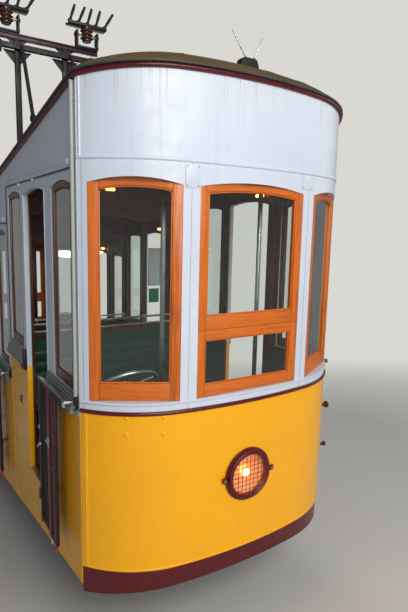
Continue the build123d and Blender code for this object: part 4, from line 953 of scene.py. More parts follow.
def crown(part, ring, height, slot=0):
    """Closes a dome with a low crown: rows across the car between the points of its last ring."""
    middle, count, columns = len(plan_bow(0)) // 2, len(ring), 8
    half, ys = max(v.co.x for v in ring), [v.co.y for v in ring]
    rows = [[ring[middle]] * (columns + 1)]
    for k in range(1, count // 2):
        left, right = ring[(middle - k) % count], ring[(middle + k) % count]
        row = [left]
        for c in range(1, columns):
            place = left.co.lerp(right.co, c / columns)
            ramp = min(1, (place.y - min(ys)) / 0.6, (max(ys) - place.y) / 0.6)
            place.z += height * (1 - (place.x / half) ** 2) * ramp * (2 - ramp)
            row.append(part.verts.new(place))
        rows.append(row + [right])
    rows.append([ring[(middle + count // 2) % count]] * (columns + 1))
    for a, b in zip(rows, rows[1:]):
        for c in range(columns):
            corners = list(dict.fromkeys((a[c], b[c], b[c + 1], a[c + 1])))
            part.faces.new(corners).material_index = slot


class CAR_OT_roof(bpy.types.Operator):
    """Domes the canvas roof over its drip edge and trim, with a boarded ceiling inside and seams on top"""

    bl_idname = "car.roof"
    bl_label = "Roof"

    def execute(self, context):
        roof, part = Piece(), bmesh.new()
        edge = ((0, 0.05), (0, ROOF_LIP - ROOF_OVERHANG), (ROOF_LIP, -ROOF_OVERHANG),
                (ROOF_EDGE, -ROOF_OVERHANG))
        rings = dome_rows(part, [(rise, inset, 1) for rise, inset in edge])
        join_rings(part, rings, 1)
        domes = ((-1, ROOF_STAGES, 6, 0, 0.024), (0, CEILING_STAGES, 4, 2, 0.004))
        for start, stages, steps, slot, height in domes:
            dome = dome_rows(part, eased(stages, steps)[1:])
            join_rings(part, [rings[start], *dome], slot)
            crown(part, dome[-1], height, slot)
        roof.add(closed(part), slot=None)
        roof.finish("roof_shell", "painted_roof_canvas grey_gutter_paint dark_ceiling_boards", "roof_paint",
                    "roof", angle=50)
        self.seams()
        self.trim()
        return {"FINISHED"}

    def seams(self):
        """Lapped canvas joints: down the bows where their arcs meet, and across at each compartment."""
        seams = Piece()
        lap = [(-0.014, -0.002), (-0.012, 0.0016), (0.012, 0.0016), (0.014, -0.002)]
        stages = eased(ROOF_STAGES, 6)
        rings = [(rise, plan_ring(inset, TRACK_LENGTH, squeeze)) for rise, inset, squeeze in stages]
        for index in ROOF_SEAMS:
            points = [roof_point(ring[index][0], rise) for rise, ring in rings]
            frames = []
            for before, point, after in zip([points[0], *points], points, [*points[1:], points[-1]]):
                ahead = (after - before).normalized()
                side = ahead.cross(UP).normalized()
                frames.append((point, side, side.cross(ahead)))
            seams.add(swept(frames, lap))
        seams.finish("roof_seams", "painted_roof_canvas", "roof_paint")

    def trim(self):
        """Half-round maroon trim under the roof's edge, in lengths with small gaps."""
        trim = Piece()
        height = TRIM_Z + TRIM_HEIGHT / 2
        points = []
        for point, normal in plan_ring(0, SECTIONS * SECTION_LENGTH):
            rise = (height - SKIRT_Z - point.y * sin(TILT)) / cos(TILT)
            place = Vector((point.x, CORNER_Y + point.y * cos(TILT) - rise * sin(TILT), height))
            points.append((place, Vector((normal.x, normal.y * cos(TILT), normal.y * sin(TILT)))))
        count = len(points)
        for a, b in zip(TRIM_STARTS, (*TRIM_STARTS[1:], count)):
            frames = []
            for k in range(a, b + 1):
                place, normal = points[k % count]
                ahead = (points[(k + 1) % count][0] - points[k - 1][0]).normalized()
                out = (normal - ahead * normal.dot(ahead)).normalized()
                frames.append((place + ahead * (0.0012 if k == a else 0), out, -out.cross(ahead)))
            trim.add(swept(frames, half_round(TRIM_HEIGHT, TRIM_PROUD)))
        trim.finish("roof_band", "maroon_coach_enamel", "maroon_enamel", "roof_trim", angle=45)


# Places on a gate (along, height), where it is parked: its bright latch, knob and lever
LATCH_PLATE, LATCH_BOLT = ((0.385, 0.425), (0.725, 0.79)), ((0.378, 0.442), (0.75, 0.768))
KNOB_PLACE, LEVER_PLACE, LEVER_END = (0.612, 0.788), (0.612, 0.665), (0.664, 0.629)
KNOB = ((0.014, 0), (0.014, 0.002), (0.0065, 0.003), (0.0065, 0.005), (0.0115, 0.0065), (0.0115, 0.009),
        (0, 0.0115))
SLATS = 4


class CAR_OT_gates(bpy.types.Operator):
    """Welds the six half-height gates: bar, stiles, slats and laths, with bright latches and knuckles"""

    bl_idname = "car.gates"
    bl_label = "Gates"

    def execute(self, context):
        finishes = ("gate_enamel maroon_gate_iron polished_chrome red_pin slat_paint red_gate_iron "
                    "rubbed_steel")
        for side_name, side in SIDES.items():
            for index, section in enumerate(NAMES):
                name = "gate_" + side_name + "_" + section
                piece = Piece(seed=index + 3)
                self.leaf(piece, level(index), side)
                piece.finish(name + "_leaf", finishes, "gate_paint", name, name)
        return {"FINISHED"}

    def leaf(self, piece, matrix, side):
        """One gate's parts, in its compartment's level frame."""
        bar, stile, chrome, pin, slat, red, worn = range(7)
        x, out, face = side * GATE_X, Vector((side, 0, 0)), GATE_X + GATE_THICK / 2
        thick, thin = about(x, GATE_THICK / 2), about(x, SLAT_THICK / 2)
        under = GATE_TOP - GATE_BAR_HEIGHT
        tall, lead = (GATE_FOOT, under), LEAD_STILE
        inner = (lead[0] + LEAD_BAR, lead[1] - LEAD_BAR)
        # Top bar, with a worn steel capping
        piece.block(thick, GATE_BAR, (under, GATE_TOP - 0.003), matrix, 0.003, bar, "y")
        piece.block(thick, GATE_BAR, (GATE_TOP - 0.0035, GATE_TOP), matrix, 0.001, worn, "y")
        # Stiles: a solid hinge stile, and a boxed leading stile with a sunk panel, one half of it lighter red
        # as a painted highlight
        piece.block(thick, HINGE_STILE, tall, matrix, 0.003, stile)
        piece.block(thick, (lead[0], inner[0]), tall, matrix, 0.004, stile)
        # Lighter red half: a painted highlight of the stile's lit face
        piece.block(thick, (inner[1], lead[1]), tall, matrix, 0.004, red)
        piece.block(thin, inner, tall, matrix, 0.001, slat)
        for middle in (GATE_FOOT + 0.02, (GATE_FOOT + under) / 2, under - 0.02):
            piece.block(thick, inner, about(middle, 0.02), matrix, 0.003, stile)
        # Slats, riveted to three laths
        for low in [SLAT_START + k * SLAT_PITCH for k in range(SLATS)]:
            piece.block(thin, (low, low + SLAT_WIDTH), tall, matrix, 0.0015, slat)
            for height in LATHS:
                rivet = turned([(0.005, 0), (0.005, 0.0015), (0.0035, 0.003), (0, 0.0038)], 10)
                place = (x + side * SLAT_THICK / 2, low + SLAT_WIDTH / 2, height + 0.012)
                piece.fix(rivet, matrix, place, out, slat)
        for height in LATHS:
            piece.block(thin, (lead[1], HINGE_STILE[0]), (height, height + 0.024), matrix, 0.001, slat)
        # Hinge knuckles and their leaves
        for height in HINGE_HEIGHTS:
            rise = low, high = height + 0.0003, height + KNUCKLE_LENGTH
            ring = [(0.0085, low), (0.0155, low), (0.016, low + 0.001), (0.016, high - 0.001), (0.0155, high),
                    (0.0085, high), (0.0085, low)]
            piece.add(turned(ring, 20), matrix @ move(x, DOORWAY[0], 0), 0, stile)
            strap = (HINGE_STILE[1] - 0.03, DOORWAY[0] - 0.0145)
            piece.block(about(x, 0.004), strap, rise, matrix, 0.001, stile)
            cover = pair(side, face - 0.001, face + 0.003)
            piece.block(cover, (HINGE_STILE[0] - 0.004, HINGE_STILE[1] - 0.003), rise, matrix, 0.001, stile)
            for up in (0.015, 0.045):
                place = (side * (face + 0.003), sum(HINGE_STILE) / 2, low + up)
                piece.fix(dome_head(0.006, 0.003), matrix, place, out, stile)
        # Bright latch on the leading stile
        plate, bolt = pair(side, face - 0.001, face + 0.004), pair(side, face + 0.003, face + 0.01)
        piece.block(plate, *LATCH_PLATE, matrix, 0.0015, chrome)
        piece.block(bolt, *LATCH_BOLT, matrix, 0.002, chrome)
        # On the hinge stile: a turned knob, and below it a lever with a ball end
        piece.fix(turned(KNOB, 24), matrix, (side * (face - 0.001), *KNOB_PLACE), out, chrome)
        piece.fix(dome_head(0.014, 0.006), matrix, (side * face, *LEVER_PLACE), out, chrome)
        pivot = Vector((side * (face + 0.003), *LEVER_PLACE))
        end = Vector((side * (face + 0.005), *LEVER_END))
        piece.add(rod(pivot, end, 0.0048, 12), matrix, 0, chrome)
        piece.add(ball(0.0065), matrix @ move(*end), 0, chrome)
        # Pins on the bar and under the foot
        piece.fix(dome_head(0.008, 0.009), matrix, (side * (face - 0.001), 0.43, GATE_TOP - 0.016), out, pin)
        for along, paint in ((lead[0] + 0.03, pin), (lead[0] + 0.13, chrome)):
            foot = Vector((x, along, GATE_FOOT - 0.056))
            piece.add(rod(foot, foot + UP * 0.064, 0.0085, 14, 0.003), matrix, 0, paint)


# (along, height) spans of a keeper's strap and cap, and of the casting behind them with its two bolts
KEEPER_STRAP, KEEPER_CAP = ((0.05, 0.062), (1.117, 1.131)), ((0.03, 0.066), (1.104, 1.134))
KEEPER_CASTING, KEEPER_BOLTS = ((0.034, 0.066), (1.074, 1.172)), (1.09, 1.156)
EYE = 0.016  # radius of a hinge bracket's eye


class CAR_OT_hinges(bpy.types.Operator):
    """Forges the gates' hinge brackets and pins, the parked bars' keepers and the doorway catches"""

    bl_idname = "car.hinges"
    bl_label = "Gate hinges and fittings"

    def execute(self, context):
        iron, chrome = 0, 1
        hinges, fittings = Piece(), Piece()
        pin, face = DOORWAY[0], HALF_WIDTH - 0.001
        arc = [-pi / 2 + pi * k / 10 for k in range(1, 10)]
        eye = [(HALF_WIDTH, -EYE), (GATE_X, -EYE)]
        eye += [(GATE_X + EYE * cos(a), EYE * sin(a)) for a in arc]
        eye += [(GATE_X, EYE), (HALF_WIDTH, EYE)]
        for side, _, matrix in BAYS:
            out = (side, 0, 0)
            for height in HINGE_HEIGHTS:
                outline = [(side * a, pin + b) for a, b in eye][::side]
                hinges.add(prism(outline, (height - 0.012, height)), matrix, 0.0012, iron)
                plate, rise = pair(side, face, HALF_WIDTH + 0.005), (height - 0.035, height + 0.03)
                hinges.block(plate, (pin - 0.075, pin - 0.004), rise, matrix, 0.0015, iron)
                for at in (0.022, 0.058):
                    place = (side * (HALF_WIDTH + 0.005), pin - at, height + 0.012)
                    hinges.fix(hex_head(0.013, 0.006), matrix, place, out, iron)
                ends = [(side * GATE_X, pin, height + z) for z in (-0.016, KNUCKLE_LENGTH)]
                hinges.add(rod(*ends, 0.008, 16, 0.002), matrix, 0, chrome)
            # Keeper: a bright T-shaped strap over the end of the parked bar, on a black corner casting
            strap = pair(side, HALF_WIDTH + 0.01, GATE_X + 0.022)
            cap = pair(side, GATE_X + 0.014, GATE_X + 0.023)
            fittings.block(strap, *KEEPER_STRAP, matrix, 0.002, chrome)
            fittings.block(cap, *KEEPER_CAP, matrix, 0.003, chrome)
            casting = pair(side, face, HALF_WIDTH + 0.02)
            fittings.block(casting, *KEEPER_CASTING, matrix, 0.006, iron, segments=3)
            for rise in KEEPER_BOLTS:
                place = (side * (HALF_WIDTH + 0.02), 0.05, rise)
                fittings.fix(dome_head(0.007, 0.003), matrix, place, out, chrome)
            # Catch box at the far post, with two bright latch brackets
            fittings.block(pair(side, face, HALF_WIDTH + 0.024), CATCH_ALONG, CATCH_RISE, matrix, 0.003, iron)
            for low in (CATCH_RISE[0] + 0.03, CATCH_RISE[0] + 0.1):
                shelf = pair(side, HALF_WIDTH + 0.018, HALF_WIDTH + 0.0235)
                along = (CATCH_ALONG[0] + 0.006, CATCH_ALONG[1] - 0.004)
                fittings.block(shelf, along, (low, low + 0.02), matrix, 0.001, chrome)
        finishes = "black_painted_iron polished_chrome"
        hinges.finish("gate_hinge_irons", finishes, "cast_fittings", "gate_hinges")
        fittings.finish("gate_keepers_and_catches", finishes, "cast_fittings", "gate_fittings")
        return {"FINISHED"}


# (radius, z) profiles of the headlight, from its face inwards: z points out of the car
LAMP_RING = (
    (LENS_RADIUS, 0.001), (LENS_RADIUS, 0.024), (0.134, 0.031), (0.139, 0.034), (0.15, 0.0335),
    (0.157, 0.029), (0.159, 0.02), (0.161, 0.012), (0.1695, 0.011), (0.172, 0.008), (0.172, 0.0),
    (0.15, 0.0), (0.15, -0.08), (LENS_RADIUS, -0.08), (LENS_RADIUS, 0.001),
)
LAMP_BOWL = (
    (0.018, -0.0365), *[(0.13 * t, -0.037 + 0.027 * t * t) for t in (0.25, 0.4, 0.55, 0.7, 0.85, 1.0)],
    (0.131, -0.011), (0.1, -0.0235), (0.06, -0.0335), (0.018, -0.0385), (0.018, -0.0365),
)
LAMP_SOCKET = ((0.017, -0.039), (0.017, -0.031), (0.012, -0.029), (0, -0.029))
LAMP_BULB = ((0.01, -0.031), (0.012, -0.029), (0.02, -0.0245), (0.0235, -0.019), (0.02, -0.0135),
             (0.01, -0.0102), (0, -0.0095))
GUARD_PITCH = 0.03


class CAR_OT_headlights(bpy.types.Operator):
    """Builds the headlights: a painted ring with lugs, a wire guard, a pressed lens, reflector and bulb"""

    bl_idname = "car.headlights"
    bl_label = "Headlights"

    def execute(self, context):
        ring, optics, glow, lens = Piece(seed=5), Piece(), Piece(), Piece()
        for end in ENDS:
            matrix = END_FRAME[end] @ move(0, BULGE, LAMP_HEIGHT) @ rotate(-pi / 2, "X") @ rotate(pi, "Z")
            ring.add(turned(LAMP_RING, 64), matrix)
            # Guard: soft-edged wires, woven a little over and under each other
            for number in range(7):
                at = (number - 3) * GUARD_PITCH
                reach = sqrt(LENS_RADIUS**2 - at**2) + 0.003
                for flip in (0, 1):
                    points = []
                    for along in [reach * (k / 14 - 1) for k in range(29)]:
                        weave = 0.0012 * cos(pi * (along / GUARD_PITCH + number + flip))
                        points.append((*((at, along) if flip else (along, at)), 0.0275 + weave))
                    ring.add(tube(points, 0.0021, 6), matrix)
            for side in (-1, 1):
                ring.block(pair(side, 0.166, 0.198), (-0.016, 0.016), (0.004, 0.02), matrix, 0.004)
                ring.add(hex_head(0.015, 0.002), matrix @ move(side * 0.184, 0, 0.02), 0, 1)
            # The reflector bowl's warm tint is a painted glow of the bulb
            optics.add(turned(LAMP_BOWL, 48), matrix)
            optics.add(turned(LAMP_SOCKET, 20), matrix, 0, 1)
            glow.add(turned(LAMP_BULB, 24), matrix)
            lens.add(self.lens(), matrix)
        ring.finish("headlight_rings", "maroon_brushed_enamel rubbed_steel", "maroon_enamel", "headlights")
        optics.finish("headlight_reflectors", "silvered_reflector rubbed_steel", "bright_steel", angle=60)
        glow.finish("headlight_bulbs", "lit_bulb", "lamp_glass", angle=60)
        lens.finish("headlight_lens_glass", "pressed_lamp_glass", "lamp_glass", "headlight_lenses", angle=60)
        return {"FINISHED"}

    def lens(self):
        """Pressed glass: a shallow dome in front, and upright flutes behind."""
        part = bmesh.new()
        rows, steps, rims = 14, 72, []
        for back in (0, 1):
            rings = []
            for k in range(rows + 1):
                radius = (LENS_RADIUS - 0.0005) * k / rows
                ring = []
                for a in [2 * pi * n / steps for n in range(steps if k else 1)]:
                    x, y = radius * cos(a), radius * sin(a)
                    dome = 0.0115 - 0.006 * (k / rows) ** 2
                    flutes = 0.001 + 0.0011 * (1 + cos(2 * pi * x / 0.011))
                    ring.append(part.verts.new((x, y, flutes if back else dome)))
                rings.append(ring)
            join_rings(part, rings)
            rims.append(rings[-1])
        join_rings(part, rims)
        return closed(part)


class CAR_OT_sills(bpy.types.Operator):
    """Folds the ribbed sheet sills under the side windows, with a dark lip"""

    bl_idname = "car.sills"
    bl_label = "Window sills"

    def execute(self, context):
        sills = Piece()
        foot, ribs = SIDE_WAIST + 0.015, 5
        start = Vector((0.008, SILL))
        run = Vector((0.045, foot + 0.01)) - start
        out = Vector((-run.y, run.x)).normalized()
        # Ribs pressed along the slope
        shares = [k / 40 for k in range(41)]
        slope = [start + run * t + out * (-0.0015 + 0.0015 * cos(2 * pi * ribs * t)) for t in shares]
        lip = [(0.045, foot + 0.009), (0.045, foot + 0.001), (0.043, foot - 0.001), (0.0, foot - 0.012)]
        section = [(0.0, SILL), *[(p.x, p.y) for p in slope], *lip]
        for side, _, matrix in BAYS:
            for span in ((0.064, 0.64), (SECTION_LENGTH - 0.51, SECTION_LENGTH - 0.03)):
                out = Vector((side, 0, 0))
                part = swept([(Vector((side * HALF_WIDTH, at, 0)), out, UP) for at in span], section)
                for face in part.faces:
                    middle = face.calc_center_median()
                    lip = middle.z < foot + 0.0095 and abs(middle.x) > HALF_WIDTH + 0.01
                    face.material_index = int(lip)
                sills.add(part, matrix, slot=None)
        sills.finish("sill_sheets", "grey_green_sill_paint grey_gutter_paint", "grey_metal", "window_sills")
        return {"FINISHED"}


class CAR_OT_drain_pipes(bpy.types.Operator):
    """Runs the corner drain pipes with their collars and clips"""

    bl_idname = "car.drain_pipes"
    bl_label = "Drain pipes"

    def execute(self, context):
        pipes = Piece()
        collar = [(0.01, 0), (0.0118, 0), (0.0135, 0.001), (0.0135, 0.016), (0.0118, 0.017),
                  (0.01, 0.017), (0.01, 0)]
        for side in SIDES.values():
            for index, along in ((0, 0.044), (SECTIONS - 1, SECTION_LENGTH - 0.044)):
                x, matrix = side * (HALF_WIDTH + 0.012), level(index)
                top = (TRIM_Z - 0.002 - SKIRT_Z - along * sin(TILT)) / cos(TILT)
                pipes.add(rod((x, along, SILL), (x, along, top), 0.0115, 18, 0.001), matrix)
                for height in (SILL + 0.02, 1.75, FASCIA_FOOT + 0.06, top - 0.1):
                    place = matrix @ move(x, along, height) @ Matrix.Diagonal((0.89, 1, 1, 1))
                    pipes.add(turned(collar, 18), place)
                    clip = pair(side, HALF_WIDTH - 0.001, HALF_WIDTH + 0.004)
                    pipes.block(clip, about(along, 0.026), (height, height + 0.016), matrix, 0.001)
                    for at in (-0.021, 0.021):
                        place = (side * (HALF_WIDTH + 0.004), along + at, height + 0.008)
                        pipes.fix(dome_head(0.0035, 0.002, 10), matrix, place, (side, 0, 0))
        pipes.finish("corner_drain_pipes", "white_pipe_paint", "white_enamel", "drain_pipes")
        return {"FINISHED"}


GANTRY_HALF = 0.019  # half the width of a square post and of the beams' flanges


class CAR_OT_gantry(bpy.types.Operator):
    """Stands the collector gantry on the roof: posts, braces, and the lower and upper cross beams"""

    bl_idname = "car.gantry"
    bl_label = "Collector gantry"

    def execute(self, context):
        black, maroon, brown = 0, 1, 2
        matrix, plane = level(0), across(0, GANTRY_ALONG)
        posts, braces, beams = Piece(), Piece(), Piece()
        half, beam, (foot, top), (under, over) = GANTRY_HALF, GANTRY_BEAM, GANTRY_LOWER, GANTRY_UPPER
        along = about(GANTRY_ALONG, half)
        for x, base in GANTRY_POSTS:
            posts.block(about(x, half), along, (base, under), matrix, 0.003, black)
            for height in (foot - 0.02, top + 0.004):
                collar = about(GANTRY_ALONG, half + 0.004)
                posts.block(about(x, half + 0.004), collar, (height, height + 0.016), matrix, 0.002, black)
            # Triangular knees under the upper beam and gussets under the lower one, on both sides of the post
            for height, reach, drop in ((under, 0.055, 0.04), (foot, 0.08, 0.09)):
                for way in (-1, 1):
                    near, far = x + way * half, x + way * (half + reach)
                    knee = [(near, height), (far, height), (near, height - drop)]
                    posts.add(prism(knee, (-0.005, 0.005)), plane, 0.001, black)
        for x, base in GANTRY_BRACES:
            start, stop = Vector((x, BRACE_ALONG[0], base)), Vector((x, BRACE_ALONG[1], (foot + top) / 2))
            run = stop - start
            braces.add(rod(start, stop, 0.013, 16, 0.003), matrix, 0, brown)
            shoe = turned([(0, 0), (0.024, 0), (0.023, 0.02), (0.0135, 0.05), (0, 0.05)], 18)
            braces.fix(shoe, matrix, start + run * 0.06, run, brown)
            lug = [(0, -0.01), (0.021, -0.01), (0.023, -0.008), (0.023, 0.008), (0.021, 0.01), (0, 0.01)]
            place = matrix @ move(*stop - run.normalized() * 0.012) @ rotate(pi / 2, "Y")
            braces.add(turned(lug, 20), place, 0, brown)
        # Lower beam: an angle iron on the posts' uphill faces, with clamps near its ends
        deep = (GANTRY_ALONG - 3 * half, GANTRY_ALONG - half)
        for x in (beam[0] + 0.06, beam[1] - 0.06):
            clamp = (deep[0] - 0.004, deep[1] + 0.004)
            beams.block(about(x, 0.024), clamp, (foot - 0.034, top + 0.008), matrix, 0.006, black)
            beams.fix(hex_head(0.022, 0.012), matrix, (x, sum(deep) / 2, foot - 0.034), (0, 0, -1), brown)
        web = (foot, top - 0.006)
        beams.block(beam, deep, (top - 0.008, top), matrix, 0.002, black)
        beams.block(beam, (deep[0], deep[0] + 0.008), web, matrix, 0.002, black)
        beams.block(beam, (deep[1] - 0.008, deep[1]), web, matrix, 0.002, black)
        # Upper beam: a rail on the posts' tops
        beams.block(beam, along, (over - 0.01, over), matrix, 0.003, maroon)
        beams.block(beam, about(GANTRY_ALONG, 0.008), GANTRY_UPPER, matrix, 0.002, maroon)
        beams.block(beam, along, (under, under + 0.009), matrix, 0.003, maroon)
        for x, _ in GANTRY_POSTS:
            for at in (-0.009, 0.009):
                place = (x + at, deep[0], (foot + top) / 2)
                beams.fix(hex_head(0.012, 0.006), matrix, place, (0, -1, 0), brown)
        finishes = "black_painted_iron maroon_gate_iron brown_gantry_iron"
        posts.finish("gantry_post_irons", finishes, "gantry_iron", "gantry_posts")
        braces.finish("gantry_brace_rods", finishes, "gantry_iron", "gantry_braces")
        beams.finish("gantry_cross_irons", finishes, "gantry_iron", "gantry_beams")
        self.heads(matrix)
        return {"FINISHED"}

    def heads(self, matrix):
        """Collector heads: ribbed drums on pins in cradles, with cross arms and leaning contact fingers."""
        iron, porcelain, steel, black = range(4)
        heads = Piece(seed=9)
        y, foot = GANTRY_ALONG, GANTRY_UPPER[1]
        arm, pin = foot + 0.152, foot + 0.094
        profile = [(0, 0), (0.03, 0), (0.036, 0.005)]
        for base in (0.01, 0.037, 0.064):
            profile += [(0.035, base), (0.036, base + 0.005), (0.046, base + 0.01), (0.048, base + 0.014),
                        (0.046, base + 0.018), (0.037, base + 0.023)]
        profile += [(0.04, 0.095), (0.04, 0.101), (0, 0.101)]
        for x in HEAD_X:
            heads.block(about(x, 0.086), about(y, 0.03), (foot, foot + 0.014), matrix, 0.003, iron)
            for side in (-1, 1):
                leg = about(x + side * 0.079, 0.007)
                heads.block(leg, about(y, 0.03), (foot + 0.01, foot + 0.124), matrix, 0.004, iron)
                heads.fix(hex_head(0.026, 0.01), matrix, (x + side * 0.086, y, pin), (side, 0, 0), iron)
                for at in (-0.018, 0.018):
                    place = matrix @ move(x + side * 0.058, y + at, foot + 0.014)
                    heads.add(hex_head(0.012, 0.006), place, 0, steel)
            heads.add(rod((x - 0.08, y, pin), (x + 0.08, y, pin), 0.0095, 14), matrix, 0, steel)
            heads.add(turned(profile, 36), matrix @ move(x, y, foot + 0.051), 0, porcelain)
            heads.block(about(x, 0.15), about(y, 0.04), (arm, arm + 0.007), matrix, 0.002, iron)
            for at in (-0.04, 0.032):
                heads.block(about(x, 0.15), (y + at, y + at + 0.008), (arm, arm + 0.022), matrix, 0.002, iron)
            for offset, lean in FINGERS:
                start = Vector((x + offset, y, arm + 0.011))
                tip = start + Vector((lean, 0, 0.14))
                ahead = (tip - start).normalized()
                heads.add(rod(start, tip, 0.0095, 14, 0.004), matrix, 0, black)
                collar = turned([(0, 0), (0.017, 0), (0.017, 0.014), (0.011, 0.022), (0, 0.022)], 16)
                heads.fix(collar, matrix, start + ahead * 0.012, ahead, iron)
                sleeve = turned([(0, 0), (0.0108, 0), (0.0108, 0.05), (0.0085, 0.056), (0, 0.056)], 14)
                heads.fix(sleeve, matrix, start + ahead * 0.07, ahead, black)
        finishes = "black_painted_iron brown_glazed_porcelain rubbed_steel moulded_black_rubber"
        heads.finish("collector_head_irons", finishes, "cast_fittings", "collector_heads")


class CAR_OT_aerial(bpy.types.Operator):
    """Sets the aerial on the roof: a black moulded block with two bright rods in a V"""

    bl_idname = "car.aerial"
    bl_label = "Aerial"

    def execute(self, context):
        matrix, aerial, foot, y = level(0), Piece(), ROOF_LINE + 0.15, AERIAL_ALONG
        block = ((-0.005, 0.01), (0.13, 0.01), (0.13, 0.06), (0.118, 0.094), (0.105, 0.105), (0.02, 0.105),
                 (0.007, 0.094), (-0.005, 0.06))
        outline = [(x, foot + z) for x, z in block]
        aerial.add(prism(outline, (-0.03, 0.03)), across(0, y), 0.004, segments=3)
        for start, stop in ((0.06, -0.055), (0.1, 0.17)):
            low, high = Vector((start, y, foot + 0.09)), Vector((stop, y, foot + 0.245))
            ahead = (high - low).normalized()
            aerial.add(rod(low, high, 0.0042, 14, 0.002), matrix, 0, 1)
            boot = turned([(0, 0), (0.011, 0), (0.0105, 0.016), (0.007, 0.03), (0, 0.03)], 18)
            aerial.fix(boot, matrix, low, ahead)
            aerial.add(ball(0.005), matrix @ move(*high - ahead * 0.003), 0, 1)
        aerial.finish("roof_aerial", "moulded_black_rubber polished_chrome", "cast_fittings", "aerial")
        return {"FINISHED"}


# In an end's frame: across, height of the middle, width and height of each cover plate
COVER_PLATES = ((0.4255, 2.399, 0.089, 0.124), (-0.4085, 2.421, 0.107, 0.084))
PANEL_BOLTS = ((0.571, 0.965), (0.571, 1.065), (0.761, 0.965), (0.761, 1.065))
# Corner bosses: height, size; and their (radius, z) profile
BOSSES = ((0.8, 1.0), (0.48, 0.72))
BOSS = ((0, -0.004), (0.014, -0.004), (0.014, 0.014), (0.024, 0.018), (0.026, 0.024), (0.024, 0.03),
        (0, 0.03))
END_LEDGE = ((-0.001, -0.013), (0.005, -0.013), (0.009, -0.009), (0.009, -0.003), (0.004, 0.0), (-0.001, 0.0))
# Height of the side walls' dark moulding: a painted shadow line under the proud fascia
SIDE_SHADOW_LINE = 2.435
# along, height, size along and size up of the small fittings over the side windows
SIDE_FITTINGS = ((0.142, 2.47, 0.03, 0.036), (0.914, 2.427, 0.022, 0.016), (1.334, 2.421, 0.016, 0.022))
LATCHES = ((1.445, 1.0), (1.495, 0.7))
CASING = 0.009


class CAR_OT_end_details(bpy.types.Operator):
    """Rolls the edges of the end panels, and adds their ledges, fascia edges, cover plates and bolts"""

    bl_idname = "car.end_details"
    bl_label = "End panels' details"

    def execute(self, context):
        sizes = context.scene.car_sizes
        yellow, white, dark = 0, 1, 2
        details, bosses = Piece(), Piece()
        waist, sheet = END_WAIST - 0.0135, (END_WAIST + 0.012, FASCIA_FOOT)
        for end in ENDS:
            matrix, foot = END_FRAME[end], end_foot(end)
            # Bolted bosses on the corner, at the driver's side: a neck, a flat head and its nut
            for rise, size in BOSSES:
                place = matrix @ facing((0.008 - HALF_WIDTH, 0.045, rise), (-1, 0, 0))
                bosses.add(turned([(radius * size, z) for radius, z in BOSS], 24), place)
                bosses.add(hex_head(0.022 * size, 0.012), place @ move(0, 0, 0.03 * size))
            edge = half_round(2 * sizes.rolled_edge, 0.004)
            details.add(swept(bow_frames(foot + sizes.rolled_edge), edge), matrix, 0, yellow)
            details.add(swept(bow_frames(END_WINDOW_FOOT - 0.001), END_LEDGE), matrix, 0, white)
            head = ROOF_LINE if end == "uphill" else ROOF_LINE - SECTION_DROP - 0.006
            # Rolled edge, its gap, edge of the fascia, and joints of the white sheets beside the windows
            rows = ((0.9415, (foot + 0.004, waist), sizes.side_roll, 0.004, yellow),
                    (0.9575, (foot + 0.002, waist), 0.003, 0.0006, dark),
                    (0.951, (FASCIA_FOOT + 0.001, head), 0.014, 0.006, white),
                    (0.43, sheet, 0.0016, 0.0005, dark), (0.9455, sheet, 0.0016, 0.0005, dark))
            for side in (-1, 1):
                for x, span, width, proud, paint in rows:
                    details.add(upright(side * x, span, half_round(width, proud)), matrix, 0, paint)
            for x, height, width, rise in COVER_PLATES:
                place, w, h = matrix @ bow_place(x, height), width / 2, rise / 2
                details.block((-w, w), (-h, h), (-0.002, 0.0035), place, 0.0015, white)
                for a in (0.012 - w, w - 0.012):
                    for b in (0.012 - h, h - 0.012):
                        details.add(dome_head(0.0035, 0.0018, 10), place @ move(a, b, 0.0035), 0, dark)
            for x, height in PANEL_BOLTS:
                place = matrix @ bow_place(x, height)
                washer = [(0.0165, -0.001), (0.0165, 0.001), (0.015, 0.0018), (0, 0.0018)]
                details.add(turned(washer, 20), place, 0, yellow)
                details.add(dome_head(sizes.bolt_head / 2, 0.006), place @ move(0, 0, 0.0018), 0, yellow)
        bosses.finish("corner_bosses", "maroon_brushed_enamel", "maroon_enamel")
        finishes = "yellow_coach_enamel white_coach_enamel grey_gutter_paint"
        details.finish("end_panel_details", finishes, "white_enamel")
        return {"FINISHED"}


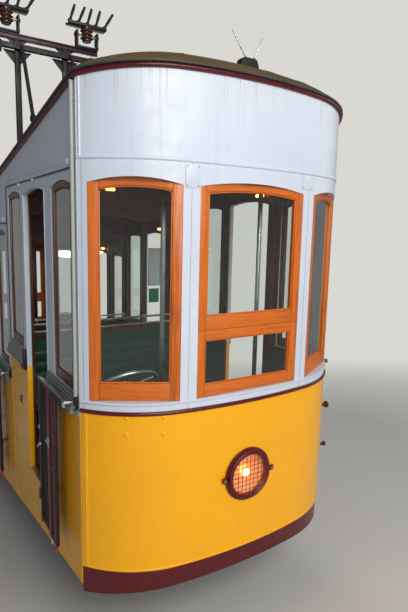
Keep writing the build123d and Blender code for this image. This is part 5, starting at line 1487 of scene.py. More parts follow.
class CAR_OT_side_details(bpy.types.Operator):
    """Fits the side walls' stepped moulding with a painted shadow line, cover strips, door casings, latches
    and edges
    """

    bl_idname = "car.side_details"
    bl_label = "Side walls' details"

    def execute(self, context):
        yellow, white, dark, chrome = range(4)
        details = Piece()
        end, skin = SECTION_LENGTH, HALF_WIDTH - 0.001
        for side, index, matrix in BAYS:
            last = index == SECTIONS - 1
            face, lip, edge = [pair(side, skin, HALF_WIDTH + proud) for proud in (0.006, 0.003, 0.0035)]
            # A thin moulding over the windows, dark grey as a painted shadow line under the proud fascia; it
            # steps down where compartments meet
            span = (0.002 if index else 0.06, end - 0.06 if last else end + 0.002)
            head = min(SIDE_SHADOW_LINE + 0.045, roof_foot(span[1]) - 0.05)
            details.block(face, span, about(SIDE_SHADOW_LINE, 0.005), matrix, 0.002, dark)
            details.block(lip, span, about(head, 0.004), matrix, 0.002, white)
            if not last:
                joint = (SIDE_WAIST, SIDE_SHADOW_LINE + 0.005)
                details.block(face, (end - 0.004, end + 0.006), joint, matrix, 0.002, dark)
                details.block(lip, about(end, 0.016), (-0.29, SIDE_WAIST), matrix, 0.002, yellow)
            proud = pair(side, skin, HALF_WIDTH + 0.018)
            for along, height, width, tall in SIDE_FITTINGS:
                span, rise = about(along, width / 2), about(height, tall / 2)
                details.block(proud, span, rise, matrix, 0.005, white, segments=3)
            self.casing(details, side, index)
            # Latches past the doorway: bright brackets on dark backing plates
            shelf = pair(side, HALF_WIDTH + 0.002, HALF_WIDTH + 0.017)
            tongue = pair(side, HALF_WIDTH + 0.011, HALF_WIDTH + 0.016)
            for along, height in LATCHES:
                span = (along - 0.018, along + 0.016)
                details.block(lip, about(along, 0.024), about(height, 0.034), matrix, 0.002, dark)
                for rise in (height - 0.014, height + 0.014):
                    details.block(shelf, span, about(rise, 0.005), matrix, 0.002, chrome)
                details.block(tongue, about(along, 0.006), about(height, 0.02), matrix, 0.002, chrome)
            # Sill plate of the doorway, ribbed for feet
            tread = pair(side, HALF_WIDTH - WALL - 0.03, HALF_WIDTH + 0.003)
            door = (DOORWAY[0] + CASING, DOORWAY[1] - CASING)
            details.block(tread, door, (FLOOR_TOP - 0.001, FLOOR_TOP + 0.005), matrix, 0.002, chrome)
            for rib in range(5):
                out = side * (HALF_WIDTH - 0.062 + 0.014 * rib)
                details.block(about(out, 0.003), door, (FLOOR_TOP, FLOOR_TOP + 0.0075), matrix, 0.001, chrome)
            if not last:
                continue
            # Bright edges of the side sheets at the corners, and the rolled foot of the side
            for number, along, low in ((0, 0.002, 0.002), (index, end - 0.012, -0.29)):
                top = roof_foot(along) - 0.03
                for rise, paint in (((low, SIDE_WAIST), yellow), ((SIDE_WAIST, top), white)):
                    details.block(edge, (along, along + 0.01), rise, level(number), 0.0015, paint)
            reach, out = TRACK_LENGTH / 2 - 0.01, Vector((side, 0, 0))
            frames = [(Vector((side * HALF_WIDTH, y, SKIRT_Z + 0.009)), out, UP) for y in (-reach, reach)]
            details.add(swept(frames, half_round(0.018, 0.005)), slot=yellow)
        finishes = "yellow_coach_enamel white_coach_enamel grey_gutter_paint rubbed_steel mahogany_lining"
        details.finish("side_wall_details", finishes, "white_enamel")
        return {"FINISHED"}

    def casing(self, piece, side, index):
        """Casing of a doorway: jambs and an arched head, painted as the outside is, and mahogany inside."""
        half = (DOORWAY[1] - DOORWAY[0]) / 2
        matrix = wall(side, index, HALF_WIDTH, sum(DOORWAY) / 2)
        for deep, low, high in (((-0.034, 0.004), 0, 1), ((-WALL - 0.014, -0.034), 4, 4)):
            for way in (-1, 1):
                jamb = pair(way, half - CASING, half)
                piece.block(jamb, (FLOOR_TOP, SIDE_WAIST), deep, matrix, 0.002, low)
                piece.block(jamb, (SIDE_WAIST, WINDOW_HEAD), deep, matrix, 0.002, high, "y")
            strip = arched_strip(half, half, WINDOW_HEAD - 0.0005, WINDOW_HEAD - CASING, deep)
            piece.add(strip, matrix, 0.002, high)


LINING, LINING_FOOT, SKIRTING = 0.008, 1.05, 0.09
# distance across from the centre and rise above the roof's foot, over the ceiling's curve
CEILING_LINE = ((0.905, 0.0), (0.8075, 0.044), (0.598, 0.117), (0.34, 0.163), (0.0, 0.166))
LINING_POSTS = (0.055, 0.584, 1.298)


class CAR_OT_linings(bpy.types.Operator):
    """Lines the walls inside: mahogany round the openings, and green matchboards with a rail below"""

    bl_idname = "car.linings"
    bl_label = "Wall linings"

    def execute(self, context):
        wood, green = 0, 1
        linings = Piece(seed=21)
        layer = (-LINING, -0.0006)
        spans = (SIDE_WINDOWS[0], DOORWAY, SIDE_WINDOWS[1])
        openings = [(*opening, WINDOW_HEAD, HEAD_RISE) for opening in spans]
        for side, index, _ in BAYS:
            matrix = wall(side, index, INNER)
            span = (0.0, SECTION_LENGTH - (BULKHEAD if index < SECTIONS - 1 else 0))
            top = [(along, roof_foot(along) - 0.002) for along in reversed(span)]
            linings.add(prism(arched_comb(span, LINING_FOOT, openings, top), layer), matrix, 0, wood, "y")
            for low, high in ((span[0], DOORWAY[0] - 0.001), (DOORWAY[1] + 0.001, span[1])):
                self.dado(linings, matrix, (low, high), green, wood)
            for low, high in SIDE_WINDOWS:
                linings.block((low, high), (LINING_FOOT, SILL - 0.001), layer, matrix, 0.001, wood, "x")
                shelf = (low - 0.015, high + 0.015)
                linings.block(shelf, (SILL - 0.02, SILL - 0.001), (-0.032, -0.0006), matrix, 0.004, wood, "x")
            # Posts between the openings stand proud of the lining
            for along in LINING_POSTS:
                rise = (LINING_FOOT, WINDOW_HEAD - 0.02)
                linings.block(about(along, 0.022), rise, (-0.024, -LINING), matrix, 0.004, wood, "y")
        for end in ENDS:
            head = ROOF_LINE if end == "uphill" else ROOF_LINE - SECTION_DROP - 0.012
            # foot, depth, height and finish of the boards that follow the bow: dado, window rail, fascia
            for foot, deep, rise, finish in ((FLOOR_TOP + 0.004, 0.008, END_WAIST - FLOOR_TOP, green),
                                             (END_WINDOW_FOOT - 0.04, 0.03, 0.035, wood),
                                             (FASCIA_FOOT, 0.008, head - FASCIA_FOOT, wood)):
                board = [(-deep, 0.0), (-0.001, 0.0), (-0.001, rise), (-deep, rise)]
                line = bow_frames(foot, WALL, 0.05, INNER - 0.02)
                linings.add(swept(line, board), END_FRAME[end], 0, finish)
            for window in (*OUTER_WINDOWS, MID_WINDOW):
                place, half = window_frame(end, window)
                wide = half + 0.035
                opening = [(0.004 - half, half - 0.004, WINDOW_HEAD, HEAD_RISE)]
                top = [(wide, FASCIA_FOOT), (-wide, FASCIA_FOOT)]
                board = arched_comb((-wide, wide), END_WINDOW_FOOT, opening, top)
                linings.add(prism(board, (-0.056, -0.0455)), place, 0, wood, "y")
        linings.finish("wall_linings", "mahogany_lining green_painted_boards", "dark_wood")
        return {"FINISHED"}

    def dado(self, piece, matrix, span, green, wood):
        """Matchboards from the floor to the dado rail, over a skirting."""
        count = max(1, round((span[1] - span[0]) / 0.09))
        width = (span[1] - span[0]) / count
        for low in [span[0] + k * width for k in range(count)]:
            board = (low + 0.0008, low + width - 0.0008)
            piece.block(board, (FLOOR_TOP, LINING_FOOT), (-LINING, -0.0006), matrix, 0.002, green, "y", 1)
        rail = (LINING_FOOT - 0.03, LINING_FOOT + 0.006)
        piece.block(span, rail, (-0.022, -LINING), matrix, 0.004, wood, "x")
        piece.block(span, (FLOOR_TOP, FLOOR_TOP + SKIRTING), (-0.016, -LINING), matrix, 0.003, wood, "x")


CEILING_RIBS, RIB = 11, ((-0.004, -0.018), (0.014, -0.018), (0.014, 0.018), (-0.004, 0.018))
CEILING_BATTENS = ((-0.598, 0.11), (0.598, 0.11), (-0.2, 0.158), (0.2, 0.158))  # across, rise
LAMP_ROSE = ((0, 0.004), (0.075, 0.004), (0.075, -0.014), (0.066, -0.02), (0.06, -0.02), (0.06, -0.016),
             (0, -0.016))
LAMP_GLOBE = ((0, -0.017), (0.06, -0.017), (0.058, -0.03), (0.046, -0.045), (0.025, -0.054), (0, -0.057))
DOOR_LAMP = (0.765, 2.42)  # along, height
BULKHEAD_LAMP = (-0.06, 2.47)  # across, height


class CAR_OT_ceiling(bpy.types.Operator):
    """Fixes the ceiling's ribs, battens and lamps"""

    bl_idname = "car.ceiling"
    bl_label = "Ceiling"

    def execute(self, context):
        ribs, lamps = Piece(seed=4), Piece()
        line = [(-x, y) for x, y in CEILING_LINE[:-1]] + [*reversed(CEILING_LINE)]
        for number in range(CEILING_RIBS):
            y = ROOF_CORNER_Y + 0.5 + number * (TRACK_LENGTH - 1.0) / (CEILING_RIBS - 1)
            frames = [(Vector((x, y, ROOF_Z + rise)), -UP, Vector((0, 1, 0))) for x, rise in line]
            ribs.add(swept(frames, RIB), Matrix(), 0.002, 0, "x")
        # Battens along the roof, pale where they are worn
        run = (ROOF_CORNER_Y + 0.3, ROOF_CORNER_Y + TRACK_LENGTH - 0.3)
        for x, rise in CEILING_BATTENS:
            batten = (ROOF_Z + rise - 0.01, ROOF_Z + rise + 0.004)
            ribs.block(about(x, 0.012), run, batten, Matrix(), 0.003, 1, "y")
        ribs.finish("ceiling_ribs", "dark_ceiling_boards oiled_teak", "dark_wood")
        brass, bulb = 0, 1
        for index in range(SECTIONS):
            # Ceiling bowl in the middle of each compartment
            along = SECTION_LENGTH / 2
            place = level(index) @ move(0, along, roof_foot(along) + CEILING_LINE[-1][1]) @ rotate(-TILT, "X")
            lamps.add(turned(LAMP_ROSE, 28), place, 0, brass)
            lamps.add(turned(LAMP_GLOBE, 28), place, 0, bulb)
            # Tubular lamps over the doorways and over the bulkhead's openings
            spots = [((side * (INNER - LINING), *DOOR_LAMP), (-side, 0, 0)) for side in SIDES.values()]
            if index < SECTIONS - 1:
                x, height = BULKHEAD_LAMP
                spots.append(((x, SECTION_LENGTH - BULKHEAD, height), (0, -1, 0)))
            for spot in spots:
                place = level(index) @ facing(*spot)
                lamps.block((-0.05, 0.05), (-0.022, 0.022), (-0.001, 0.012), place, 0.004, brass)
                lamps.add(rod((-0.045, 0, 0.026), (0.045, 0, 0.026), 0.014, 16, 0.006), place, 0, bulb)
        lamps.finish("cabin_lamps", "aged_brass cabin_lamp_glass", "lamp_glass", angle=50)
        return {"FINISHED"}


# (across, height) spans of the blank notices' board, the white card on it and the green card below
NOTICE_BOARD, WHITE_CARD = ((0.345, 0.475), (1.56, 1.93)), ((0.351, 0.469), (1.566, 1.924))
GREEN_CARD = ((0.352, 0.462), (1.39, 1.53))
PICTURE_RAIL = (2.335, 2.36)


class CAR_OT_bulkheads(bpy.types.Operator):
    """Frames the bulkheads: mahogany posts and arched heads over green sheets, with blank notice boards"""

    bl_idname = "car.bulkheads"
    bl_label = "Bulkheads"

    def execute(self, context):
        wood, green, white, dark, notice = range(5)
        frames = Piece(seed=13)
        wide, core, whole = about(0, INNER - 0.002), (0.006, BULKHEAD - 0.006), (0.0, BULKHEAD)
        foot, sill, head = FLOOR_TOP - SECTION_DROP, BULKHEAD_SILL, BULKHEAD_HEAD - 0.055
        edges = [wide[0], *[x for opening in BULKHEAD_OPENINGS for x in opening], wide[1]]
        openings = [(*opening, BULKHEAD_HEAD - 0.05, 0.05) for opening in BULKHEAD_OPENINGS]
        ceiling = [(INNER - 0.001, 0.0), *CEILING_LINE]
        curve = [(x, roof_foot(SECTION_LENGTH) - 0.004 + y) for x, y in ceiling]
        top = curve + [(-x, y) for x, y in curve[-2::-1]]
        for matrix in [across(index, SECTION_LENGTH) for index in range(SECTIONS - 1)]:
            frames.block(wide, (foot, sill - 0.04), core, matrix, 0, green)
            frames.block(wide, (sill - 0.05, sill), (-0.006, BULKHEAD + 0.006), matrix, 0.005, wood, "x")
            for rise in (foot, FLOOR_TOP):
                frames.block(wide, (rise, rise + SKIRTING), whole, matrix, 0.003, wood, "x")
            # Cover strips over the joints of the green sheets
            rise = (FLOOR_TOP + SKIRTING, sill - 0.05)
            for x in (-0.305, 0.305):
                frames.block(about(x, 0.025), rise, whole, matrix, 0.003, green, "y")
            for low, high in zip(edges[::2], edges[1::2]):
                frames.block((low, high), (sill, head), whole, matrix, 0.004, wood, "y")
            comb = prism(arched_comb(wide, head, openings, top), (0.002, BULKHEAD - 0.002))
            frames.add(comb, matrix, 0, wood, "x")
            frames.block(wide, PICTURE_RAIL, (-0.004, BULKHEAD + 0.004), matrix, 0.004, wood, "x")
            # Blank notice boards in the right-hand opening
            front = BULKHEAD + 0.002
            frames.block(*NOTICE_BOARD, (front - 0.006, front), matrix, 0.001, dark)
            frames.block(*WHITE_CARD, (front - 0.001, front + 0.0012), matrix, 0, white)
            frames.block(*GREEN_CARD, (front - 0.006, front), matrix, 0.001, notice)
        finishes = ("mahogany_lining green_painted_boards white_notice_card black_painted_iron "
                    "green_notice_card")
        frames.finish("bulkhead_frames", finishes, "dark_wood", "bulkheads")
        return {"FINISHED"}


BENCH_SLATS, FLOOR_BOARDS = 6, 20  # across the bench's depth, across the car
BACK_RAILS, BACK_RAIL_HEIGHT = (0.74, 0.84, 0.94), 0.07


class CAR_OT_seats_and_floors(bpy.types.Operator):
    """Lays the slatted benches, their back rails and the floors' boards"""

    bl_idname = "car.seats_and_floors"
    bl_label = "Benches and floors"

    def execute(self, context):
        benches, boards = Piece(seed=31), Piece(seed=17)
        reach, under = INNER - LINING - 0.001, BENCH_SEAT - BENCH_THICK
        wide, width = (-reach, reach), (BENCH_DEPTH - 0.01) / BENCH_SLATS
        for index, way in BENCHES:
            back, matrix = SECTION_LENGTH - BULKHEAD if way > 0 else 0.0, level(index)

            def span(near, far):
                """Low and high along, for two distances from the bench's back."""
                return tuple(sorted((back - way * near, back - way * far)))

            for near in [0.006 + k * width for k in range(BENCH_SLATS)]:
                slat = span(near, near + width - 0.009)
                benches.block(wide, slat, (BENCH_SEAT - 0.02, BENCH_SEAT), matrix, 0.004, 0, "x")
            for x in (-reach, -0.47, -0.02, 0.43, reach - 0.04):
                batten = span(0.004, BENCH_DEPTH - 0.03)
                benches.block((x, x + 0.04), batten, (under, BENCH_SEAT - 0.02), matrix, 0.003, 0, "y")
            nosing = span(BENCH_DEPTH - 0.028, BENCH_DEPTH - 0.001)
            benches.block(wide, nosing, (under, BENCH_SEAT - 0.019), matrix, 0.006, 0, "x")
            for rise in BACK_RAILS:
                rail = (rise, rise + BACK_RAIL_HEIGHT)
                benches.block(wide, span(-0.004, 0.018), rail, matrix, 0.004, 1, "x")
        finishes = "varnished_beech_slats green_painted_boards"
        benches.finish("bench_slats", finishes, "bench_wood", "bench_seats")
        pitch = 2 * INNER / FLOOR_BOARDS
        for index in range(SECTIONS):
            for k in range(FLOOR_BOARDS):
                low, high = k * pitch - INNER + 0.001, (k + 1) * pitch - INNER - 0.001
                bulge = bow(max(abs(low), abs(high)))[0].y - WALL - 0.004
                start = 0.001 if index else -bulge
                stop = SECTION_LENGTH + (bulge if index == SECTIONS - 1 else -BULKHEAD - 0.001)
                rise = (FLOOR_TOP - 0.001, FLOOR_TOP + 0.004)
                boards.block((low, high), (start, stop), rise, level(index), 0.0015, 0, "y", 1)
        boards.finish("floor_boards", "worn_floor_boards", "floor_board")
        return {"FINISHED"}


BRAKE_COLUMN = (
    (0, 0.21), (0.058, 0.218), (0.055, 0.232), (0.036, 0.255), (0.03, 0.3), (0.026, 0.7), (0.029, 0.98),
    (0.034, 0.99), (0.034, 1.01), (0.028, 1.02), (0.028, 1.09), (0.024, 1.108), (0.012, BRAKE_TOP),
    (0, BRAKE_TOP),
)
BRAKE_HUB = ((0, 0.044), (0.03, 0.044), (0.034, 0.048), (0.034, 0.072), (0.03, 0.076), (0.014, 0.078),
             (0.014, 0.088), (0, 0.09))
BRAKE_SPOKE = ((0.028, 0.056), (0.11, 0.054), (0.192, BRAKE_LIFT))
POLE_FOOT = ((0, 0), (0.04, 0), (0.04, 0.006), (0.02, 0.014), (0.017, 0.03), (0, 0.03))


class CAR_OT_cabin_irons(bpy.types.Operator):
    """Turns the hand brakes with their wheels, and the poles and rails to hold"""

    bl_idname = "car.cabin_irons"
    bl_label = "Hand brakes and handrails"

    def execute(self, context):
        iron, steel = 0, 1
        brakes, rails = Piece(), Piece()
        turn = [2 * pi * k / 48 for k in range(48)]
        rim = [(BRAKE_WHEEL * cos(a), BRAKE_WHEEL * sin(a), BRAKE_LIFT) for a in turn]
        top = FLOOR_TOP + 0.018
        for end in ENDS:
            place = END_FRAME[end] @ move(*BRAKE_PLACE, 0)
            wheel = place @ move(0, 0, BRAKE_TOP) @ rotate(radians(BRAKE_TILT), "X")
            brakes.block((-0.08, 0.08), (-0.08, 0.08), (FLOOR_TOP, top), place, 0.005, iron)
            for a in (-0.058, 0.058):
                for b in (-0.058, 0.058):
                    brakes.add(hex_head(0.02, 0.01), place @ move(a, b, top), 0, steel)
            brakes.add(turned(BRAKE_COLUMN, 28), place, 0, iron)
            brakes.add(tube(rim, BRAKE_RIM, 12, True), wheel, 0, steel)
            brakes.add(turned(BRAKE_HUB, 24), wheel, 0, steel)
            brakes.add(rod((0, 0, -0.018), (0, 0, 0.05), 0.0175, 16), wheel, 0, steel)
            for angle in (radians(30), radians(150), radians(270)):
                spoke = [(r * cos(angle), r * sin(angle), z) for r, z in BRAKE_SPOKE]
                brakes.add(tube(spoke, 0.0085), wheel, 0, steel)
        finishes = "black_painted_iron rubbed_steel"
        brakes.finish("hand_brakes", finishes, "cast_fittings", "brake_columns", angle=50)
        for index, along, head in POLES:
            for x in (-POLE_X, POLE_X):
                rails.add(rod((x, along, FLOOR_TOP), (x, along, head), POLE_RADIUS, 20), level(index))
                rails.add(turned(POLE_FOOT, 24), level(index) @ move(x, along, FLOOR_TOP + 0.002))
        along, (low, high) = SECTION_LENGTH - BULKHEAD - 0.04, RAIL_HEIGHTS
        for matrix in [level(index) for index in range(SECTIONS - 1)]:
            for z in RAIL_HEIGHTS:
                rails.add(rod((-RAIL_HALF, along, z), (RAIL_HALF, along, z), RAIL_RADIUS, 16, 0.005), matrix)
            for x in (-0.86, -0.305, 0.305, 0.86):
                rails.block(about(x, 0.007), (along, along + 0.04), RAIL_HEIGHTS, matrix, 0.002)
                foot = (along + 0.036, along + 0.0405)
                rails.block(about(x, 0.016), foot, (low - 0.015, high + 0.015), matrix, 0.001)
        rails.finish("poles_and_rails", "rubbed_steel", "bright_steel", "handrails", angle=50)
        return {"FINISHED"}


# across from the wheel's back, radius
WHEEL_PROFILE = (
    (0.0, 0.056), (0.0, 0.096), (0.004, 0.1), (0.026, 0.103), (0.031, 0.112), (0.033, 0.245),
    (0.026, 0.257), (0.003, 0.262), (0.0, 0.266), (0.0, 0.325), (0.003, 0.332), (0.009, 0.335),
    (0.015, 0.334), (0.021, 0.327), (0.027, 0.315), (0.033, 0.3101), (0.04, 0.3098), (0.112, 0.3065),
    (0.119, 0.304), (0.12, 0.3), (0.12, 0.266), (0.116, 0.262), (0.062, 0.257), (0.055, 0.245),
    (0.053, 0.112), (0.06, 0.1), (0.112, 0.092), (0.119, 0.088), (0.12, 0.084), (0.12, 0.056),
    (0.0, 0.056),
)
# radius, distance from the middle of the axle
AXLE_PROFILE = (
    (0, JOURNAL[1] - 0.006), (0.05, JOURNAL[1] - 0.006), (0.0549, JOURNAL[1] - 0.012), (0.0549, WHEEL_BACK),
    (0.062, WHEEL_BACK - 0.002), (0.062, WHEEL_BACK - 0.03), (0.0545, WHEEL_BACK - 0.036), (0.0545, 0.02),
)


class CAR_OT_wheelsets(bpy.types.Operator):
    """Turns the wheelsets: tyres with flanges, dished and ribbed discs, hubs, and axles with collars"""

    bl_idname = "car.wheelsets"
    bl_label = "Wheelsets"

    def execute(self, context):
        tyre, disc, axle = 0, 1, 2
        axle_line = [*AXLE_PROFILE, *[(radius, -z) for radius, z in reversed(AXLE_PROFILE)]]
        for name, y in (("wheelset_uphill", -WHEELBASE / 2), ("wheelset_downhill", WHEELBASE / 2)):
            piece, centre = Piece(), move(0, y, WHEEL_RADIUS)
            piece.add(turned(axle_line, 32), centre @ rotate(pi / 2, "Y"), 0, axle)
            for side in SIDES.values():
                place = centre @ rotate(side * pi / 2, "Y") @ move(0, 0, WHEEL_BACK)
                part = turned([(radius, z) for z, radius in WHEEL_PROFILE], 72)
                for face in part.faces:
                    middle = face.calc_center_median()
                    face.material_index = tyre if middle.xy.length > 0.26 or middle.z > 0.117 else disc
                piece.add(part, place, slot=None)
                for spoke in [place @ rotate(pi / 4 * k, "Z") for k in range(8)]:
                    rib = prism([(0.098, 0.05), (0.25, 0.05), (0.25, 0.058), (0.098, 0.09)], (-0.007, 0.007))
                    piece.add(rib, spoke @ rotate(pi / 2, "X"), 0.003, disc)
                    piece.add(hex_head(0.02, 0.008), spoke @ move(0.074, 0.0, 0.1185), 0, axle)
            finishes = "turned_tyre_steel frame_black rubbed_steel"
            piece.finish(name + "_turned", finishes, "wheel_steel", name, name)
        return {"FINISHED"}


# Of the traction motor: its span along the track, foot and half width, and its end cap's profile
MOTOR_SPAN, MOTOR_FOOT, MOTOR_HALF = (-1.09, -0.61), 0.13, 0.3
MOTOR_CAP = ((0, 0.0), (0.12, 0.0), (0.118, 0.012), (0.1, 0.018), (0.05, 0.02), (0.045, 0.03), (0, 0.031))
LEAF_LENGTHS, LEAF_THICK = (0.86, 0.7, 0.54, 0.38), 0.011
# Rivets along the frame's bars: places across, and how many in a row
RIVET_ROWS, RIVETS = (0.607, 0.633, 0.875, 0.905), 26
MOTOR_RIBS, MOTOR_BOLTS = 11, 6


class CAR_OT_underframe(bpy.types.Operator):
    """Fits out the running gear: axle boxes, leaf springs, ribbed motor, gripper bolts and frame rivets"""

    bl_idname = "car.underframe"
    bl_label = "Running gear"

    def execute(self, context):
        corners = [(side, y) for y in (-WHEELBASE / 2, WHEELBASE / 2) for side in SIDES.values()]
        self.boxes(corners)
        self.springs(corners)
        self.motor()
        rivets, down = Piece(), rotate(pi, "X")
        reach = TRACK_LENGTH / 2 - 0.12
        for side in SIDES.values():
            for x in RIVET_ROWS:
                for y in [reach * (2 * k / (RIVETS - 1) - 1) for k in range(RIVETS)]:
                    rivets.add(dome_head(0.011, 0.007, 12), move(side * x, y, FRAME_BOTTOM) @ down)
            # Corner plates between the end members and the bars
            for way in (-1, 1):
                y = way * (TRACK_LENGTH / 2 - 0.15)
                outline = [(side * 0.5, y), (side * 0.66, y), (side * 0.66, y - way * 0.2)]
                rivets.add(prism(outline, (FRAME_BOTTOM - 0.008, FRAME_BOTTOM)), Matrix(), 0.002)
        for x in (-0.07, 0.07):
            for y in (-0.12, 0.12):
                rivets.add(hex_head(0.026, 0.014), move(x, y, FRAME_BOTTOM - 0.016) @ down, 0, 1)
        for side in SIDES.values():
            bush = turned([(0.0205, 0), (0.036, 0), (0.036, 0.005), (0.0205, 0.005), (0.0205, 0)], 28)
            rivets.add(bush, move(side * 0.03, 0, 0.13) @ rotate(side * pi / 2, "Y"), 0, 1)
        rivets.finish("frame_rivets_and_bolts", "frame_black rubbed_steel", "frame_steel")
        return {"FINISHED"}

    def boxes(self, corners):
        """Axle boxes with bolted covers, between horn guides."""
        iron, steel = 0, 1
        boxes = Piece()
        for side, y in corners:
            place = move(0, y, WHEEL_RADIUS)
            shell = pair(side, JOURNAL[0] + 0.001, JOURNAL[1] - 0.002)
            boxes.block(shell, (-0.077, 0.077), (-0.079, 0.079), place, 0.012, iron, segments=3)
            cover = place @ facing((side * (JOURNAL[1] - 0.003), 0, 0), (side, 0, 0))
            boxes.block((-0.066, 0.066), (-0.068, 0.068), (0, 0.009), cover, 0.004, iron)
            cap = [(0.048, 0.008), (0.046, 0.018), (0.036, 0.023), (0, 0.025)]
            boxes.add(turned(cap, 28), cover, 0, iron)
            for a in (-0.053, 0.053):
                for b in (-0.055, 0.055):
                    boxes.add(hex_head(0.019, 0.009), cover @ move(a, b, 0.009), 0, steel)
            # Horn guides on both sides of the box, with their bolts
            for way in (-1, 1):
                guide = pair(way, 0.0782, 0.098)
                boxes.block(about(side * GIRDER_X, 0.025), guide, (-0.095, 0.135), place, 0.003, iron)
                for rise in (-0.07, 0.05):
                    nut = (side * GIRDER_X, way * 0.098, rise)
                    boxes.fix(hex_head(0.018, 0.008), place, nut, (0, way, 0), steel)
        boxes.finish("axle_box_castings", "frame_black rubbed_steel", "frame_steel", "axle_boxes")

    def springs(self, corners):
        """Leaf springs: four leaves each way from a buckle, with clips."""
        springs, top = Piece(), FRAME_BOTTOM
        for side, y in corners:
            x = side * GIRDER_X
            for way in (-1, 1):
                for row, length in enumerate(LEAF_LENGTHS):
                    span = sorted((y + way * 0.1025, y + way * length / 2))
                    leaf = (top - (row + 1) * LEAF_THICK + 0.0006, top - row * LEAF_THICK - 0.0006)
                    springs.block(about(x, 0.03), span, leaf, Matrix(), 0.002)
                clip = sorted((y + way * 0.2, y + way * 0.222))
                springs.block(about(x, 0.035), clip, (top - 4 * LEAF_THICK, top - 0.001), Matrix(), 0.002)
            springs.block(about(x, 0.033), about(y, 0.073), (top - 0.055, top), Matrix(), 0.004)
        springs.finish("spring_leaves", "spring_steel", "frame_steel", "leaf_springs")

    def motor(self):
        """The motor's ribbed casing with round end caps."""
        motor, half = Piece(), MOTOR_HALF

        def belly(inset, radius=0.06):
            """Outline of the casing along the track, set in by a distance."""
            low, margin = MOTOR_FOOT + inset + radius, inset + radius
            a, b = MOTOR_SPAN[0] + margin, MOTOR_SPAN[1] - margin
            arc = [pi / 2 * k / 5 for k in range(6)]
            left = [(a - radius * cos(t), low - radius * sin(t)) for t in arc]
            right = [(b + radius * sin(t), low - radius * cos(t)) for t in arc]
            return left + right + [(b + radius, FRAME_BOTTOM), (a - radius, FRAME_BOTTOM)]

        turn = Matrix(((0, 0, 1, 0), (1, 0, 0, 0), (0, 1, 0, 0), (0, 0, 0, 1)))
        motor.add(prism(belly(0.012), (0.02 - half, half - 0.02)), turn, 0.004)
        for k in range(MOTOR_RIBS):
            share = 2 * k / (MOTOR_RIBS - 1) - 1
            rib = about(share * (half - 0.01), 0.01 if abs(share) == 1 else 0.005)
            motor.add(prism(belly(0.0), rib), turn, 0.002)
        for side in (-1, 1):
            place = facing((side * half, sum(MOTOR_SPAN) / 2, 0.3), (side, 0, 0))
            motor.add(turned(MOTOR_CAP, 36), place)
            for k in range(MOTOR_BOLTS):
                nut = place @ rotate(2 * pi * k / MOTOR_BOLTS, "Z") @ move(0.105, 0, 0.014)
                motor.add(hex_head(0.018, 0.008), nut, 0, 1)
        motor.finish("motor_casing", "motor_paint rubbed_steel", "grey_metal", "traction_motor")


# name, place, aimed at, size, watts
STUDIO_LAMPS = (
    ("key", (-0.9, -9.6, 4.2), (0, -3, 1.9), 5.5, 450),
    ("fill", (7.0, -5.0, 4.5), (0, -1, 2.0), 5.0, 60),
    ("back", (3.0, 9.0, 6.0), (0, 1, 2.0), 5.0, 300),
)
FLOOR_SIZE = 12.0


def placed(name, data):
    """A new object in the scene."""
    made = bpy.data.objects.new(name, data)
    bpy.context.scene.collection.objects.link(made)
    return made


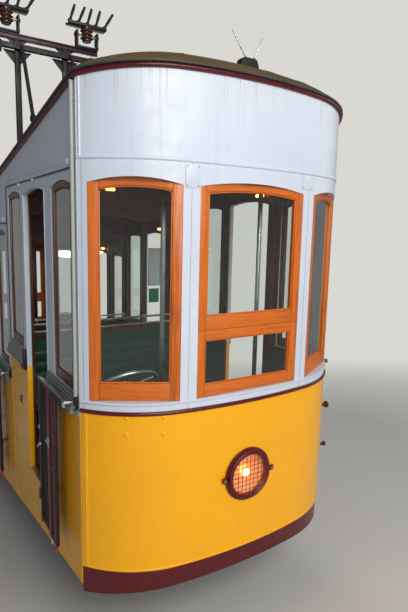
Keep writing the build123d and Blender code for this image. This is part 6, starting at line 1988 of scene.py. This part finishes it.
class CAR_OT_stage(bpy.types.Operator):
    """Sets the pale floor, the soft lamps and the camera at the photograph's viewing angle"""

    bl_idname = "car.stage"
    bl_label = "Stage"

    def execute(self, context):
        scene = context.scene
        part, mesh = bmesh.new(), bpy.data.meshes.new("studio_floor")
        bmesh.ops.create_grid(part, x_segments=4, y_segments=4, size=FLOOR_SIZE)
        part.to_mesh(mesh)
        part.free()
        mesh.materials.append(look("studio_paper"))
        placed("studio_floor", mesh)

        # Lamps are mirrored in a dim sky; the camera and the glass see a plain backdrop
        scene.world = world = bpy.data.worlds.new("studio")
        world.use_nodes = True
        tree = world.node_tree
        tree.nodes.clear()
        rays = [node(tree, "LightPath", out=name) for name in ("Is Camera Ray", "Is Transmission Ray")]
        seen = node(tree, "Math", dict(enumerate(rays)), operation="MAXIMUM")
        sky = node(tree, "Background", {0: linear("#DDE3EA"), 1: 0.25})
        backdrop = node(tree, "Background", {0: linear("#DAD8D2"), 1: 1.0})
        node(tree, "OutputWorld", {"Surface": node(tree, "MixShader", {0: seen, 1: sky, 2: backdrop})})

        for name, place, target, size, watts in STUDIO_LAMPS:
            light = bpy.data.lights.new(name, "AREA")
            light.shape, light.size, light.energy = "DISK", size, watts
            lamp = placed(name, light)
            lamp.matrix_world = aim(target, place)
            lamp.location = place

        yaw, pitch, roll = radians(CAMERA_YAW), radians(CAMERA_PITCH), radians(CAMERA_ROLL)
        camera = bpy.data.cameras.new("photo_camera")
        camera.sensor_width = 36
        camera.lens = camera.sensor_width * FOCAL_PIXELS / PICTURE_HEIGHT
        scene.camera = viewer = placed("photo_camera", camera)
        turn = rotate(-yaw, "Z") @ rotate(pi / 2 + pitch, "X") @ rotate(roll, "Z")
        viewer.matrix_world = level(0) @ move(*CAMERA_PLACE) @ turn
        scene.view_settings.view_transform = "Standard"
        return {"FINISHED"}


class CAR_PT_panel(bpy.types.Panel):
    """Lists the pieces and the sizes and colours that they take"""

    bl_idname = "CAR_PT_panel"
    bl_label = "Funicular car"
    bl_space_type = "VIEW_3D"
    bl_region_type = "UI"
    bl_category = "Funicular"

    def draw(self, context):
        for group in (context.scene.car_sizes, context.scene.car_colours):
            for name in group.__annotations__:
                self.layout.prop(group, name)
        for operator in OPERATORS:
            self.layout.operator(operator.bl_idname)


OPERATORS = (
    CAR_OT_frame_finishes, CAR_OT_end_sashes, CAR_OT_mouldings, CAR_OT_roof, CAR_OT_gates, CAR_OT_hinges,
    CAR_OT_headlights, CAR_OT_sills, CAR_OT_drain_pipes, CAR_OT_gantry, CAR_OT_aerial, CAR_OT_end_details,
    CAR_OT_side_details, CAR_OT_side_sashes, CAR_OT_linings, CAR_OT_ceiling, CAR_OT_bulkheads,
    CAR_OT_seats_and_floors, CAR_OT_cabin_irons, CAR_OT_wheelsets, CAR_OT_underframe, CAR_OT_stage,
)
CLASSES = (CarColours, CarSizes, *OPERATORS, CAR_PT_panel)


def register():
    for cls in CLASSES:
        bpy.utils.register_class(cls)
    bpy.types.Scene.car_colours = bpy.props.PointerProperty(type=CarColours)
    bpy.types.Scene.car_sizes = bpy.props.PointerProperty(type=CarSizes)


def unregister():
    del bpy.types.Scene.car_colours
    del bpy.types.Scene.car_sizes
    for cls in reversed(CLASSES):
        bpy.utils.unregister_class(cls)


def main():
    register()
    for operator in OPERATORS:
        group, name = operator.bl_idname.split(".")
        getattr(getattr(bpy.ops, group), name)()


if __name__ == "__main__":
    main()
